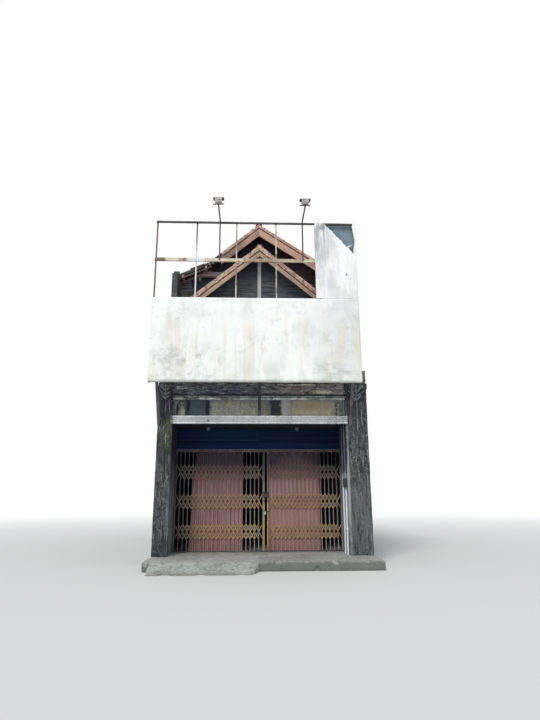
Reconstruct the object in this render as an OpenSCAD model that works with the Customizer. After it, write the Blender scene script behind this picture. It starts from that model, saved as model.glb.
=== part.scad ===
// Two-storey shophouse in a terrace, with gable roofs behind a bare sign frame.
// Millimetres. +X is to the right seen from the street, +Y runs into the house, +Z is up.
// The origin is on the ground, on the centre line, below the front face of the piers.

/* [House] */
// Width of the plot, between the outer faces of the party walls
house_w = 4500; // [4300:10:5200]
// Depth from the piers' front face to the outer face of the back wall
house_d = 9000; // [7000:50:12000]
// Thickness of the party walls and the main walls
wall_t = 150; // [120:10:200]
// Thickness of the front room's light walls
light_wall_t = 120; // [100:10:140]
// Top of the party walls beside the main roof
party_top = 7160; // [7150:10:7600]
// Top of the party walls before the main roof
party_front_top = 7000; // [6500:10:7100]

/* [Plinth] */
// Height of the ground floor above the ground
plinth_h = 180; // [120:10:300]
// How far the porch floor runs out before the piers
porch_out = 930; // [600:10:1200]
// How far the ramp runs out before the porch floor
ramp_run = 450; // [300:10:700]
// Length of the ramp along the front
ramp_w = 2100; // [1200:10:2200]
// Thickness of the ramp at its foot
ramp_toe = 20; // [10:5:40]

/* [Porch] */
// Width of each pier, up to the party wall's outer face
pier_w = 330; // [250:10:400]
// How far the right pier, which two houses share, stands past that face
right_pier_over = 180; // [50:10:250]
// Distance from the piers' front face to the gate
gate_y = 900; // [700:10:1200]
// Underside of the front beam and of the porch ceiling
lintel_z = 2935; // [2800:5:3000]
// Height of the ribbed moulding over the porch
moulding_h = 185; // [150:5:260]
// How far the moulding stands out
moulding_out = 45; // [20:5:80]
// Number of ribs in the moulding
moulding_ribs = 4; // [3:1:5]
// Depth of the front beam
beam_d = 200; // [150:10:250]
// Thickness of the porch ceiling
ceiling_t = 30; // [20:5:50]
// Underside of the upper floor
floor_z = 3530; // [3450:10:3700]
// Thickness of the upper floor
floor_t = 170; // [120:10:200]
// Thickness of the ledge at the foot of the parapet
ledge_t = 40; // [20:5:80]
// How far the ledge stands out
ledge_out = 45; // [20:5:80]
// Height of the front parapet above the ledge
parapet_h = 600; // [400:10:700]
// Thickness of the parapets
parapet_t = 120; // [100:10:150]
// How far the pier heads stand out
head_out = 80; // [40:5:120]
// Top of the pier heads above the upper floor's underside
head_rise = 320; // [280:10:400]
// Height of each of the three steps of a pier head
head_step = 130; // [100:5:140]
// How far each step of a pier head draws back
head_inset = 22; // [10:2:26]
// Diameter of the ceiling lamps
ceiling_lamp_d = 110; // [80:5:160]
// Height of the ceiling lamps
ceiling_lamp_h = 70; // [50:5:100]
// Distance of the ceiling lamps before the gate
ceiling_lamp_back = 250; // [200:10:400]
// Distance of the left and the right ceiling lamp from their piers
ceiling_lamp_side = [740, 1030];
// Radius of the pipes on the right pier's inner face
pipe_r = 22; // [15:1:30]
// Distance of each pipe behind the pier's front face
pipe_back = [120, 420];
// Heights of the pipes' clips above the floor
clip_rise = [500, 1480, 2300];
// Height of a clip
clip_h = 30; // [20:5:60]
// How far a clip reaches past its pipe on each side
clip_reach = 12; // [8:1:20]

/* [Folding gate] */
// Top of the gate's track
track_z = 2460; // [2400:10:2600]
// Height of the track
track_h = 70; // [50:5:90]
// Depth of the track
track_d = 80; // [60:5:100]
// Height of the floor rail
floor_rail_h = 20; // [10:2:30]
// Spacing of the upright bars
bar_pitch = 92; // [86:1:98]
// Width of an upright bar
bar_w = 22; // [16:1:26]
// Depth of an upright bar
bar_d = 26; // [20:1:32]
// Width of a scissor link
link_w = 22; // [12:1:24]
// Thickness of a scissor link
link_t = 5; // [3:1:8]
// Height of a band of scissor links
band_h = 330; // [280:10:360]
// Centres of the three bands above the floor
band_rise = [430, 1090, 1750];
// Right edge of the left leaf
left_leaf_end = 140; // [80:5:160]
// Left edge of the right leaf
right_leaf_end = 195; // [180:5:260]
// Width of the two meeting stiles
stile_w = 32; // [30:2:50]
// Thickness of the gate's backing sheets
sheet_t = 4; // [2:1:6]
// Left backing sheet, from and to
left_sheet_x = [-1580, -360];
// Right backing sheet, from and to
right_sheet_x = [250, 1420];
// How far the left backing sheet's outer edge leans in at the top
sheet_lean = 140; // [0:10:160]
// Height of the lock case's underside above the floor
lock_rise = 1180; // [1100:10:1300]
// Height of the lock case
lock_h = 120; // [90:5:160]
// Depth of the lock case
lock_d = 30; // [20:2:40]
// Height of the lock bar's underside above the floor
lock_bar_rise = 850; // [750:10:950]
// Height of the lock bar
lock_bar_h = 30; // [20:2:40]
// Depth of the lock bar
lock_bar_d = 12; // [8:1:20]
// Thickness of the slatted panel over the gate
header_t = 24; // [16:2:40]
// Height of a slat in the panel over the gate
slat_h = 50; // [40:5:60]

/* [Front room and its roof] */
// Distance from the piers' front face to the front room's wall
room_y = 450; // [400:10:600]
// How far the lower gable's boarding reaches down below the roof's eaves
boarding_edge_h = 70; // [40:5:120]
// Front of the lower roof
low_roof_y = 100; // [50:10:200]
// Ridge of the lower roof
low_ridge_z = 7310; // [7250:10:7350]
// Slope of the lower roof in degrees
low_pitch = 40; // [39:0.5:41]
// Thickness of the lower roof
low_roof_t = 60; // [50:5:80]
// Depth of the lower roof's barge boards
low_barge_h = 200; // [160:10:240]
// Width of the front room's window
room_window_w = 1600; // [1200:50:1800]
// Height of the wall over the front room's window
room_head_h = 100; // [80:10:300]
// Sill of the front room's window above the upper floor
room_sill = 600; // [500:10:650]
// Width of the lower gable's middle post
post_w = 90; // [60:5:120]
// Depth of the lower gable's middle post
post_d = 40; // [30:5:60]
// Thickness of the lining under the lower roof
soffit_t = 14; // [10:1:20]

/* [Main roof] */
// Distance from the piers' front face to the upper front wall
upper_y = 1800; // [1700:10:2100]
// Front of the main roof
main_roof_y = 1300; // [1200:10:1400]
// How far the main roof stands over the back wall
back_overhang = 250; // [150:10:400]
// Ridge of the main roof
main_ridge_z = 8540; // [8450:10:8600]
// Slope of the main roof on the right in degrees
right_pitch = 34; // [33:0.5:35.5]
// Slope of the upper part of the main roof on the left in degrees
left_pitch = 40.5; // [39:0.5:42]
// Slope of the sagging lower part of the main roof on the left in degrees
sag_pitch = 24; // [20:0.5:28]
// Where the left slope breaks, from the ridge
sag_x = 1250; // [1150:10:1350]
// How far the front left barge board still reaches from the ridge
left_barge_w = 1000; // [800:10:1100]
// Thickness of the main roof
main_roof_t = 70; // [60:5:90]
// Depth of the main roof's barge boards
main_barge_h = 240; // [200:10:280]
// Thickness of all barge boards
barge_t = 30; // [20:5:40]
// Radius of the ridge caps
ridge_r = 65; // [55:5:100]
// How far the ridge caps' centre lies below the ridge
ridge_sink = 35; // [25:1:45]
// Width of the passage from the upper room to the front room
passage_w = 3000; // [2400:50:3200]
// Height of the passage
passage_h = 1500; // [1300:50:1550]

/* [Windows and back door] */
// Width of a back window
window_w = 1000; // [900:50:1050]
// Height of a back window
window_h = 1200; // [1000:50:1300]
// Sill of the back windows above each floor
window_sill = 950; // [900:10:1000]
// Distance of the back windows from the party walls
window_side = 450; // [300:10:600]
// Width of the back door
door_w = 900; // [800:10:1000]
// Height of the back door
door_h = 2100; // [2000:10:2200]
// Distance of the back door from the right party wall
door_side = 500; // [300:10:600]
// Width of a window frame's timber
frame_w = 60; // [50:5:70]
// Depth of a window frame
frame_d = 70; // [60:5:90]
// Thickness of the glass
glass_t = 6; // [4:1:8]
// Thickness of the back door
door_t = 40; // [35:1:45]

/* [Sign frame] */
// Width of a bay of the frame
sign_bay_w = 920; // [895:5:930]
// Height of a row of the frame
sign_row_h = 950; // [930:5:970]
// Number of bays across
sign_bays = 5; // [4:1:5]
// Number of rows
sign_rows = 4; // [4:1:4]
// Centre line of the frame's bottom rail
sign_z = 3790; // [3750:10:3850]
// Distance of the frame before the piers
sign_out = 500; // [400:10:600]
// How far the frame's centre is off the house's centre
sign_shift = -85; // [-100:5:0]
// Size of the frame's square tube
tube = 40; // [30:5:50]
// Width of the frame's posts, seen from the street
sign_post_w = 30; // [20:5:40]
// Thickness of the vinyl sheets
vinyl_t = 3; // [2:1:5]
// Width of the torn-away corner of the upper sheet
tear_w = 750; // [500:10:840]
// Height of the torn-away corner of the upper sheet
tear_h = 860; // [600:10:920]
// Distance from the frame's bottom rail down to the feet of the outer braces
brace_drop = 890; // [760:10:960]
// Height of the middle brace's foot above the moulding
mid_brace_rise = 5; // [0:5:200]
// Distance of the left and the right brace from the plot's sides
brace_side = [35, 225];
// Size of the braces' angle steel
brace_w = 65; // [30:5:70]
// Length of the flat foot of a brace
brace_foot = 10; // [6:1:20]
// Length of the lamps' arms
arm_run = 740; // [500:10:900]
// Size of the lamps' poles and arms
arm_w = 30; // [25:1:40]
// Places of the two lamp poles across the front
arm_x = [-930, 990];
// Width of a floodlight's cross bars
flood_w = 250; // [200:10:320]
// Depth of a floodlight
flood_d = 150; // [120:10:220]
// Height of a floodlight's body between its cross bars
flood_h = 110; // [60:5:140]
// How much narrower the body is than the cross bars
flood_in = 45; // [20:5:60]
// Thickness of the cross bars
flood_bar_t = 22; // [14:2:30]
// Depth of the cross bars
flood_bar_d = 50; // [40:5:80]

/* [Hidden] */
clear = 0.3;
half_w = house_w / 2;
inner_x = half_w - wall_t;
porch_x = half_w - pier_w;
right_pier_x = half_w + right_pier_over;
party_y = gate_y + wall_t;
back_y = house_d - wall_t;
upper_z = floor_z + floor_t;
rise_low = tan(low_pitch);
low_eave_z = low_ridge_z - inner_x * rise_low;
low_drop = low_roof_t / cos(low_pitch);
soffit_drop = soffit_t / cos(low_pitch);
room_top = low_eave_z - low_drop - boarding_edge_h;
room_window_z = upper_z + room_sill;
room_window_h = room_top - room_head_h - room_window_z;
door_x = inner_x - door_side - door_w / 2;
window_x = inner_x - window_side - window_w / 2;
left_knee = [-sag_x, main_ridge_z - sag_x * tan(left_pitch)];
left_eave = [-inner_x, left_knee[1] - (inner_x - sag_x) * tan(sag_pitch)];
right_eave = [inner_x, main_ridge_z - inner_x * tan(right_pitch)];
main_drop = main_roof_t / cos(right_pitch);
left_drop = main_roof_t / cos(left_pitch);
sag_drop = main_roof_t / cos(sag_pitch);
// Places of the posts and rails of the sign frame
sign_x0 = sign_shift - sign_bays * sign_bay_w / 2;
sign_x1 = sign_x0 + sign_bays * sign_bay_w;
sign_top = sign_z + sign_rows * sign_row_h;
sign_mid = sign_z + 2 * sign_row_h;
sign_rail_3 = sign_z + 3 * sign_row_h;
// The rails run across the posts' front faces, and the sheets lie on the rails
post_y = [-sign_out + tube / 2, -sign_out + 3 * tube / 2];
vinyl_y = -sign_out - tube / 2 - clear;
arm_y = -sign_out - tube / 2 - arm_w;
gate_bottom = plinth_h + floor_rail_h;
gate_top = track_z - track_h;
bar_front = gate_y - bar_d / 2;
bar_back = gate_y + bar_d / 2;
$fn = 32;

// A block from its lowest to its highest corner
module block(x, y, z) {
    translate([x[0], y[0], z[0]]) cube([x[1] - x[0], y[1] - y[0], z[1] - z[0]]);
}

// An outline in X and Z, run along Y
module run_y(y, points) {
    translate([0, y[1], 0]) rotate([90, 0, 0]) linear_extrude(y[1] - y[0]) polygon(points);
}

// An outline in Y and Z, run along X
module run_x(x, points) {
    translate([x[0], 0, 0]) rotate([90, 0, 90]) linear_extrude(x[1] - x[0]) polygon(points);
}

module both_sides() {
    children();
    mirror([1, 0, 0]) children();
}

// Ground floor slab and porch floor in one
module plinth() {
    color([0.50, 0.50, 0.48])
        linear_extrude(plinth_h)
            polygon([
                [-half_w, -porch_out], [right_pier_x, -porch_out], [right_pier_x, party_y],
                [half_w, party_y], [half_w, house_d], [-half_w, house_d]
            ]);
}

module front_ramp() {
    color([0.56, 0.55, 0.52])
        run_x([-ramp_w, 0], [
            [-porch_out, 0], [-porch_out, plinth_h], [-porch_out - ramp_run, ramp_toe],
            [-porch_out - ramp_run, 0]
        ]);
}

// Lower at the front, where the main roof has not yet begun
module party_wall() {
    run_x([inner_x, half_w], [
        [party_y, plinth_h], [house_d, plinth_h], [house_d, party_top], [main_roof_y, party_top],
        [main_roof_y, party_front_top], [party_y, party_front_top]
    ]);
}

module left_party_wall() {
    color([0.45, 0.45, 0.43]) mirror([1, 0, 0]) party_wall();
}

module right_party_wall() {
    color([0.45, 0.45, 0.43]) party_wall();
}

module pier(outer_x) {
    block([porch_x, outer_x], [0, party_y], [plinth_h, floor_z]);
}

module left_pier() {
    color([0.33, 0.32, 0.29]) mirror([1, 0, 0]) pier(half_w);
}

module right_pier() {
    color([0.38, 0.37, 0.34]) pier(right_pier_x);
}

// A stepped head on the front of a pier, widest at the top; outer_inset is for its outer side
module pier_head(outer_x, outer_inset) {
    for (i = [0:2])
        block([porch_x + i * head_inset, outer_x - i * outer_inset], [-head_out + i * head_inset, 0],
            [floor_z + head_rise - (i + 1) * head_step, floor_z + head_rise - i * head_step]);
}

module left_pier_head() {
    color([0.28, 0.27, 0.25]) mirror([1, 0, 0]) pier_head(half_w, 0);
}

module right_pier_head() {
    color([0.28, 0.27, 0.25]) pier_head(right_pier_x, head_inset);
}

module front_beam() {
    color([0.62, 0.58, 0.42])
        block([-porch_x, porch_x], [0, beam_d], [lintel_z, floor_z]);
}

// Ribs that run along the whole moulding, on a thin back
module lintel_moulding() {
    rib_h = moulding_h / moulding_ribs;
    color([0.80, 0.79, 0.75]) {
        block([-porch_x - moulding_out, porch_x + moulding_out], [-moulding_out / 2, 0],
            [lintel_z, lintel_z + moulding_h]);
        for (i = [0:moulding_ribs - 1])
            block([-porch_x - moulding_out, porch_x + moulding_out], [-moulding_out, -moulding_out / 2],
                [lintel_z + i * rib_h, lintel_z + (i + 0.7) * rib_h]);
    }
}

module front_ledge() {
    color([0.70, 0.69, 0.64])
        difference() {
            block([-half_w, right_pier_x], [-ledge_out, beam_d], [floor_z, floor_z + ledge_t]);
            both_sides() block([porch_x, right_pier_x + 1], [-ledge_out - 1, 0],
                [floor_z - 1, floor_z + ledge_t + 1]);
        }
}

module front_parapet() {
    color([0.25, 0.25, 0.24])
        block([-half_w, right_pier_x], [0, parapet_t],
            [floor_z + ledge_t, floor_z + ledge_t + parapet_h]);
}

module side_parapets() {
    color([0.27, 0.27, 0.26])
        both_sides() block([half_w - parapet_t, half_w], [beam_d, party_y],
            [upper_z, floor_z + ledge_t + parapet_h]);
}

// Floor slab, full width over the piers and between the party walls behind them
module upper_floor() {
    color([0.48, 0.48, 0.46]) {
        block([-half_w, half_w], [beam_d, party_y], [floor_z, upper_z]);
        block([-inner_x, inner_x], [party_y, house_d], [floor_z, upper_z]);
    }
}

module porch_ceiling() {
    color([0.16, 0.17, 0.20])
        block([-porch_x, porch_x], [beam_d, gate_y], [lintel_z, lintel_z + ceiling_t]);
}

module ceiling_lamps() {
    color([0.75, 0.76, 0.78])
        for (x = [-porch_x + ceiling_lamp_side[0], porch_x - ceiling_lamp_side[1]])
            translate([x, gate_y - ceiling_lamp_back, lintel_z - ceiling_lamp_h])
                cylinder(d1 = ceiling_lamp_d * 0.7, d2 = ceiling_lamp_d, h = ceiling_lamp_h);
}

module gate_head_wall() {
    color([0.20, 0.21, 0.24])
        block([-porch_x, porch_x], [gate_y, party_y], [track_z, floor_z]);
}

// Horizontal slats in front of the wall over the gate
module gate_header_panel() {
    slats = floor((lintel_z - track_z) / slat_h);
    color([0.07, 0.09, 0.14]) {
        block([-porch_x, porch_x], [gate_y - header_t / 2, gate_y], [track_z, lintel_z]);
        for (i = [0:slats - 1])
            block([-porch_x, porch_x], [gate_y - header_t, gate_y - header_t / 2],
                [track_z + i * slat_h, track_z + (i + 0.75) * slat_h]);
    }
}

module gate_track() {
    color([0.38, 0.30, 0.26])
        block([-porch_x, porch_x], [gate_y - track_d / 2, gate_y + track_d / 2], [gate_top, track_z]);
}

module gate_floor_rail() {
    color([0.32, 0.30, 0.27])
        block([-porch_x, porch_x], [gate_y - track_d / 2, gate_y + track_d / 2],
            [plinth_h, gate_bottom]);
}

// Number of bars that fit in a leaf, and the place of one of them
function bar_count(x) = floor((x[1] - x[0] - bar_w) / bar_pitch) + 1;
function bar_place(x, i) = x[0] + bar_w / 2 + i * (x[1] - x[0] - bar_w) / (bar_count(x) - 1);
left_leaf = [-porch_x, left_leaf_end - stile_w];
right_leaf = [right_leaf_end + stile_w, porch_x];

module leaf_bars(x) {
    for (i = [0:bar_count(x) - 1])
        block([bar_place(x, i) - bar_w / 2, bar_place(x, i) + bar_w / 2], [bar_front, bar_back],
            [gate_bottom, gate_top]);
}

// A link in the gate's plane, from one point to another
module link(p, q) {
    translate(p) rotate(atan2(q[1] - p[1], q[0] - p[0])) translate([0, -link_w / 2])
        square([norm(q - p), link_w]);
}

// Each link spans two bars, and crosses its mirror image on the bar between
module leaf_links(x) {
    translate([0, bar_front, 0]) rotate([90, 0, 0]) linear_extrude(link_t)
        for (rise = band_rise, i = [0:bar_count(x) - 3]) {
            low = plinth_h + rise - band_h / 2;
            link([bar_place(x, i), low], [bar_place(x, i + 2), low + band_h]);
            link([bar_place(x, i), low + band_h], [bar_place(x, i + 2), low]);
        }
}

module gate_left_bars() {
    color([0.52, 0.44, 0.30]) leaf_bars(left_leaf);
}

module gate_left_links() {
    color([0.55, 0.46, 0.30]) leaf_links(left_leaf);
}

module gate_right_bars() {
    color([0.52, 0.44, 0.30]) leaf_bars(right_leaf);
}

module gate_right_links() {
    color([0.55, 0.46, 0.30]) leaf_links(right_leaf);
}

module gate_stiles() {
    color([0.70, 0.62, 0.40])
        for (x = [left_leaf_end - stile_w, right_leaf_end])
            block([x, x + stile_w], [gate_y - track_d / 2, bar_back], [gate_bottom, gate_top]);
}

module gate_backing_sheets() {
    color([0.55, 0.38, 0.34]) {
        run_y([bar_back, bar_back + sheet_t], [
            [left_sheet_x[0], gate_bottom], [left_sheet_x[1], gate_bottom],
            [left_sheet_x[1], gate_top], [left_sheet_x[0] + sheet_lean, gate_top]
        ]);
        block(right_sheet_x, [bar_back, bar_back + sheet_t], [gate_bottom, gate_top]);
    }
}

// Lock case and its bar across the meeting stiles
module gate_latch() {
    latch_y = gate_y - track_d / 2;
    color([0.25, 0.22, 0.20]) {
        block([left_leaf_end - stile_w, right_leaf_end + stile_w], [latch_y - lock_bar_d, latch_y],
            [plinth_h + lock_bar_rise, plinth_h + lock_bar_rise + lock_bar_h]);
        block([left_leaf_end - stile_w, right_leaf_end + stile_w], [latch_y - lock_d, latch_y],
            [plinth_h + lock_rise, plinth_h + lock_rise + lock_h]);
    }
}

// Two pipes down the right pier's inner face, with their clips
module jamb_pipes() {
    color([0.72, 0.72, 0.70])
        for (y = pipe_back) {
            translate([porch_x - pipe_r, y, plinth_h])
                cylinder(r = pipe_r, h = lintel_z - plinth_h);
            for (rise = clip_rise)
                block([porch_x - pipe_r, porch_x], [y - pipe_r - clip_reach, y + pipe_r + clip_reach],
                    [plinth_h + rise, plinth_h + rise + clip_h]);
        }
}

module window_hole(x, z, w, h, y) {
    block([x - w / 2, x + w / 2], [y[0] - 1, y[1] + 1], [z, z + h]);
}

module window_frame(x, z, w, h, y, lights) {
    light_w = (w - (lights + 1) * frame_w) / lights;
    difference() {
        block([x - w / 2, x + w / 2], y, [z, z + h]);
        for (i = [0:lights - 1]) {
            left = x - w / 2 + frame_w + i * (light_w + frame_w);
            block([left, left + light_w], [y[0] - 1, y[1] + 1], [z + frame_w, z + h - frame_w]);
        }
    }
}

module window_glass(x, z, w, h, y, lights) {
    light_w = (w - (lights + 1) * frame_w) / lights;
    for (i = [0:lights - 1]) {
        left = x - w / 2 + frame_w + i * (light_w + frame_w);
        block([left, left + light_w], [y - glass_t / 2, y + glass_t / 2],
            [z + frame_w, z + h - frame_w]);
    }
}

back_wall = [back_y, house_d];
back_frame = [back_y + (wall_t - frame_d) / 2, back_y + (wall_t + frame_d) / 2];
back_pane_y = back_y + wall_t / 2;
room_wall = [room_y, room_y + light_wall_t];
room_frame = [room_y + (light_wall_t - frame_d) / 2, room_y + (light_wall_t + frame_d) / 2];
// The back windows' places: across, and height of the sill
back_windows = [
    [-window_x, plinth_h + window_sill], [-window_x, upper_z + window_sill],
    [window_x, upper_z + window_sill]
];

module back_wall_lower() {
    color([0.50, 0.50, 0.48])
        difference() {
            block([-inner_x, inner_x], back_wall, [plinth_h, floor_z]);
            window_hole(back_windows[0][0], back_windows[0][1], window_w, window_h, back_wall);
            window_hole(door_x, plinth_h, door_w, door_h, back_wall);
        }
}

// Outline of a wall below the main roof, on the upper floor
gable_outline = [
    [-inner_x, upper_z], [inner_x, upper_z], [inner_x, right_eave[1] - main_drop],
    [0, main_ridge_z - max(main_drop, left_drop)], [left_knee[0], left_knee[1] - left_drop],
    [-inner_x, left_eave[1] - sag_drop]
];

module back_wall_upper() {
    color([0.50, 0.50, 0.48])
        difference() {
            run_y(back_wall, gable_outline);
            for (i = [1, 2])
                window_hole(back_windows[i][0], back_windows[i][1], window_w, window_h, back_wall);
        }
}

module back_door() {
    color([0.36, 0.27, 0.20])
        block([door_x - door_w / 2, door_x + door_w / 2],
            [back_pane_y - door_t / 2, back_pane_y + door_t / 2], [plinth_h, plinth_h + door_h]);
}

module back_window_frames() {
    color([0.42, 0.33, 0.25])
        for (place = back_windows)
            window_frame(place[0], place[1], window_w, window_h, back_frame, 2);
}

module back_window_glass() {
    color([0.60, 0.68, 0.72, 0.5])
        for (place = back_windows)
            window_glass(place[0], place[1], window_w, window_h, back_pane_y, 2);
}

module front_room_wall() {
    color([0.46, 0.45, 0.42])
        difference() {
            block([-inner_x, inner_x], room_wall, [upper_z, room_top]);
            window_hole(0, room_window_z, room_window_w, room_window_h, room_wall);
        }
}

module front_room_side_walls() {
    color([0.46, 0.45, 0.42])
        both_sides() block([inner_x - light_wall_t, inner_x], [room_wall[1], party_y],
            [upper_z, room_top]);
}

module front_room_window() {
    color([0.42, 0.33, 0.25])
        window_frame(0, room_window_z, room_window_w, room_window_h, room_frame, 3);
}

module front_room_glass() {
    color([0.60, 0.68, 0.72, 0.5])
        window_glass(0, room_window_z, room_window_w, room_window_h, room_y + light_wall_t / 2, 3);
}

// Boards that close the lower gable, down to the front room's wall
module low_gable_boarding() {
    color([0.17, 0.20, 0.25])
        run_y(room_wall, [
            [-inner_x, room_top], [inner_x, room_top], [inner_x, low_eave_z - low_drop],
            [0, low_ridge_z - low_drop], [-inner_x, low_eave_z - low_drop]
        ]);
}

// Middle post of the lower gable, up to the soffit
module low_gable_post() {
    color([0.72, 0.70, 0.62])
        run_y([room_y - post_d, room_y], [
            [-post_w / 2, room_top], [post_w / 2, room_top],
            [post_w / 2, low_ridge_z - low_drop - soffit_drop - rise_low * post_w / 2],
            [0, low_ridge_z - low_drop - soffit_drop],
            [-post_w / 2, low_ridge_z - low_drop - soffit_drop - rise_low * post_w / 2]
        ]);
}

// Lining under the lower roof where it stands out before the wall
module low_soffit() {
    color([0.66, 0.60, 0.46])
        run_y([low_roof_y + barge_t, room_y], [
            [-inner_x, low_eave_z - low_drop], [0, low_ridge_z - low_drop],
            [inner_x, low_eave_z - low_drop], [inner_x, low_eave_z - low_drop - soffit_drop],
            [0, low_ridge_z - low_drop - soffit_drop],
            [-inner_x, low_eave_z - low_drop - soffit_drop]
        ]);
}

module low_slope() {
    run_y([low_roof_y + barge_t, upper_y], [
        [0, low_ridge_z], [inner_x, low_eave_z], [inner_x, low_eave_z - low_drop],
        [0, low_ridge_z - low_drop]
    ]);
}

module low_roof_left() {
    color([0.52, 0.33, 0.27]) mirror([1, 0, 0]) low_slope();
}

module low_roof_right() {
    color([0.52, 0.33, 0.27]) low_slope();
}

// Half-round cap over a ridge, bedded in mortar on both slopes
module ridge_cap(y, z, slopes) {
    reach = 2 * ridge_r;
    translate([0, y[1], z]) rotate([90, 0, 0]) linear_extrude(y[1] - y[0])
        difference() {
            translate([0, -ridge_sink]) circle(r = ridge_r);
            polygon([
                [0, 0], [reach, -reach * tan(slopes[1])], [reach, -2 * reach], [-reach, -2 * reach],
                [-reach, -reach * tan(slopes[0])]
            ]);
        }
}

module low_ridge_cap() {
    color([0.50, 0.32, 0.27]) ridge_cap([low_roof_y + barge_t, upper_y], low_ridge_z, [low_pitch, low_pitch]);
}

// Two boards on the front edge of the lower roof, mitred at the ridge
module low_barge_boards() {
    barge_drop = low_barge_h / cos(low_pitch);
    color([0.66, 0.45, 0.30])
        run_y([low_roof_y, low_roof_y + barge_t], [
            [-inner_x, low_eave_z], [0, low_ridge_z], [inner_x, low_eave_z],
            [inner_x, low_eave_z - barge_drop], [0, low_ridge_z - barge_drop],
            [-inner_x, low_eave_z - barge_drop]
        ]);
}

module upper_front_wall() {
    color([0.30, 0.31, 0.31])
        difference() {
            run_y([upper_y, upper_y + wall_t], gable_outline);
            block([-passage_w / 2, passage_w / 2], [upper_y - 1, upper_y + wall_t + 1],
                [upper_z - 1, upper_z + passage_h]);
        }
}

main_roof_run = [main_roof_y + barge_t, house_d + back_overhang - barge_t];

// Left slope, which sags below its knee
module main_roof_left() {
    top_drop = max(main_drop, left_drop);
    color([0.50, 0.32, 0.26])
        run_y(main_roof_run, [
            [0, main_ridge_z], left_knee, left_eave, [-inner_x, left_eave[1] - sag_drop],
            [left_knee[0], left_knee[1] - left_drop], [0, main_ridge_z - top_drop]
        ]);
}

module main_roof_right() {
    top_drop = max(main_drop, left_drop);
    color([0.50, 0.32, 0.26])
        run_y(main_roof_run, [
            [0, main_ridge_z], [0, main_ridge_z - top_drop],
            [inner_x, right_eave[1] - main_drop], right_eave
        ]);
}

module main_ridge_cap() {
    color([0.50, 0.32, 0.27]) ridge_cap(main_roof_run, main_ridge_z, [left_pitch, right_pitch]);
}

// Boards on the roof's two ends; the front left one has lost its lower length
module main_barge_boards() {
    right_drop = main_barge_h / cos(right_pitch);
    upper_drop = main_barge_h / cos(left_pitch);
    lower_drop = main_barge_h / cos(sag_pitch);
    join_drop = max(right_drop, upper_drop);
    end_z = main_ridge_z - left_barge_w * tan(left_pitch);
    color([0.62, 0.40, 0.27]) {
        run_y([main_roof_y, main_roof_y + barge_t], [
            [0, main_ridge_z], right_eave, [inner_x, right_eave[1] - right_drop],
            [0, main_ridge_z - join_drop], [-left_barge_w, end_z - upper_drop],
            [-left_barge_w, end_z]
        ]);
        run_y([main_roof_run[1], main_roof_run[1] + barge_t], [
            [0, main_ridge_z], right_eave, [inner_x, right_eave[1] - right_drop],
            [0, main_ridge_z - join_drop], [left_knee[0], left_knee[1] - upper_drop],
            [-inner_x, left_eave[1] - lower_drop], left_eave, left_knee
        ]);
    }
}

function sign_post_x(i) = [
    sign_x0 + i * sign_bay_w - sign_post_w / 2, sign_x0 + i * sign_bay_w + sign_post_w / 2
];

module sign_posts() {
    color([0.34, 0.30, 0.27])
        for (i = [0:sign_bays])
            block(sign_post_x(i), post_y, [sign_z - tube / 2, sign_top + tube / 2]);
}

// Rails of the same tube; the fourth one from below is twice as deep
module sign_rails() {
    color([0.34, 0.30, 0.27])
        for (i = [0:sign_rows]) {
            rail_h = i == 3 ? 2 * tube : tube;
            block([sign_x0 - tube / 2, sign_x1 + tube / 2], [post_y[0] - tube, post_y[0]],
                [sign_z + i * sign_row_h - rail_h / 2, sign_z + i * sign_row_h + rail_h / 2]);
        }
}

// Places of the braces, and how far down each one reaches
brace_places = [
    [-half_w + brace_side[0], brace_drop],
    [0, sign_z - lintel_z - moulding_h - mid_brace_rise],
    [half_w - brace_side[1], brace_drop]
];

// Slanting braces from the bottom rail down to the piers and the beam
module sign_braces() {
    color([0.36, 0.24, 0.18])
        for (place = brace_places) {
            foot_z = sign_z - place[1];
            run_x([place[0] - brace_w / 2, place[0] + brace_w / 2], [
                [-sign_out - tube / 2, sign_z - tube / 2], [-sign_out + tube / 2, sign_z - tube / 2],
                [0, foot_z + brace_w], [0, foot_z], [-brace_foot, foot_z]
            ]);
        }
}

// Level ties from the posts' backs to the parapet, the front room's wall and the party walls;
// the left wall lies beside the end post, so its tie starts at the rail's back
module sign_ties() {
    mid = [sign_mid - tube / 2, sign_mid + tube / 2];
    color([0.34, 0.30, 0.27]) {
        for (i = [1:sign_bays - 1])
            block(sign_post_x(i), [post_y[1], 0], [sign_z, sign_z + tube]);
        for (i = [1, sign_bays - 1])
            block(sign_post_x(i), [post_y[1], room_y],
                [sign_z + sign_row_h, sign_z + sign_row_h + tube]);
        block([-half_w, -half_w + tube], [post_y[0], party_y], mid);
        block([sign_x1 - tube / 2, sign_x1 + tube / 2], [post_y[1], party_y], mid);
    }
}

module sign_sheet_lower() {
    color([0.86, 0.85, 0.83])
        block([sign_x0 - tube / 2, sign_x1 + tube / 2], [vinyl_y - vinyl_t, vinyl_y],
            [sign_z - tube / 2, sign_mid + tube / 2]);
}

// The last bay's upper sheet, with its top right corner torn away
module sign_sheet_upper() {
    left = sign_x1 - sign_bay_w - tube / 2;
    right = sign_x1 + tube / 2;
    top = sign_top + tube / 2;
    color([0.88, 0.88, 0.86])
        run_y([vinyl_y - vinyl_t, vinyl_y], [
            [left, sign_mid + tube / 2 + clear], [right, sign_mid + tube / 2 + clear],
            [right, top - tear_h], [right - tear_w, top], [left, top]
        ]);
}

module sign_back_sheet() {
    back = post_y[1] + clear;
    color([0.50, 0.51, 0.52])
        block([sign_x1 - sign_bay_w, sign_x1], [back, back + vinyl_t],
            [sign_rail_3 + tube, sign_top + tube / 2]);
}

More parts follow.
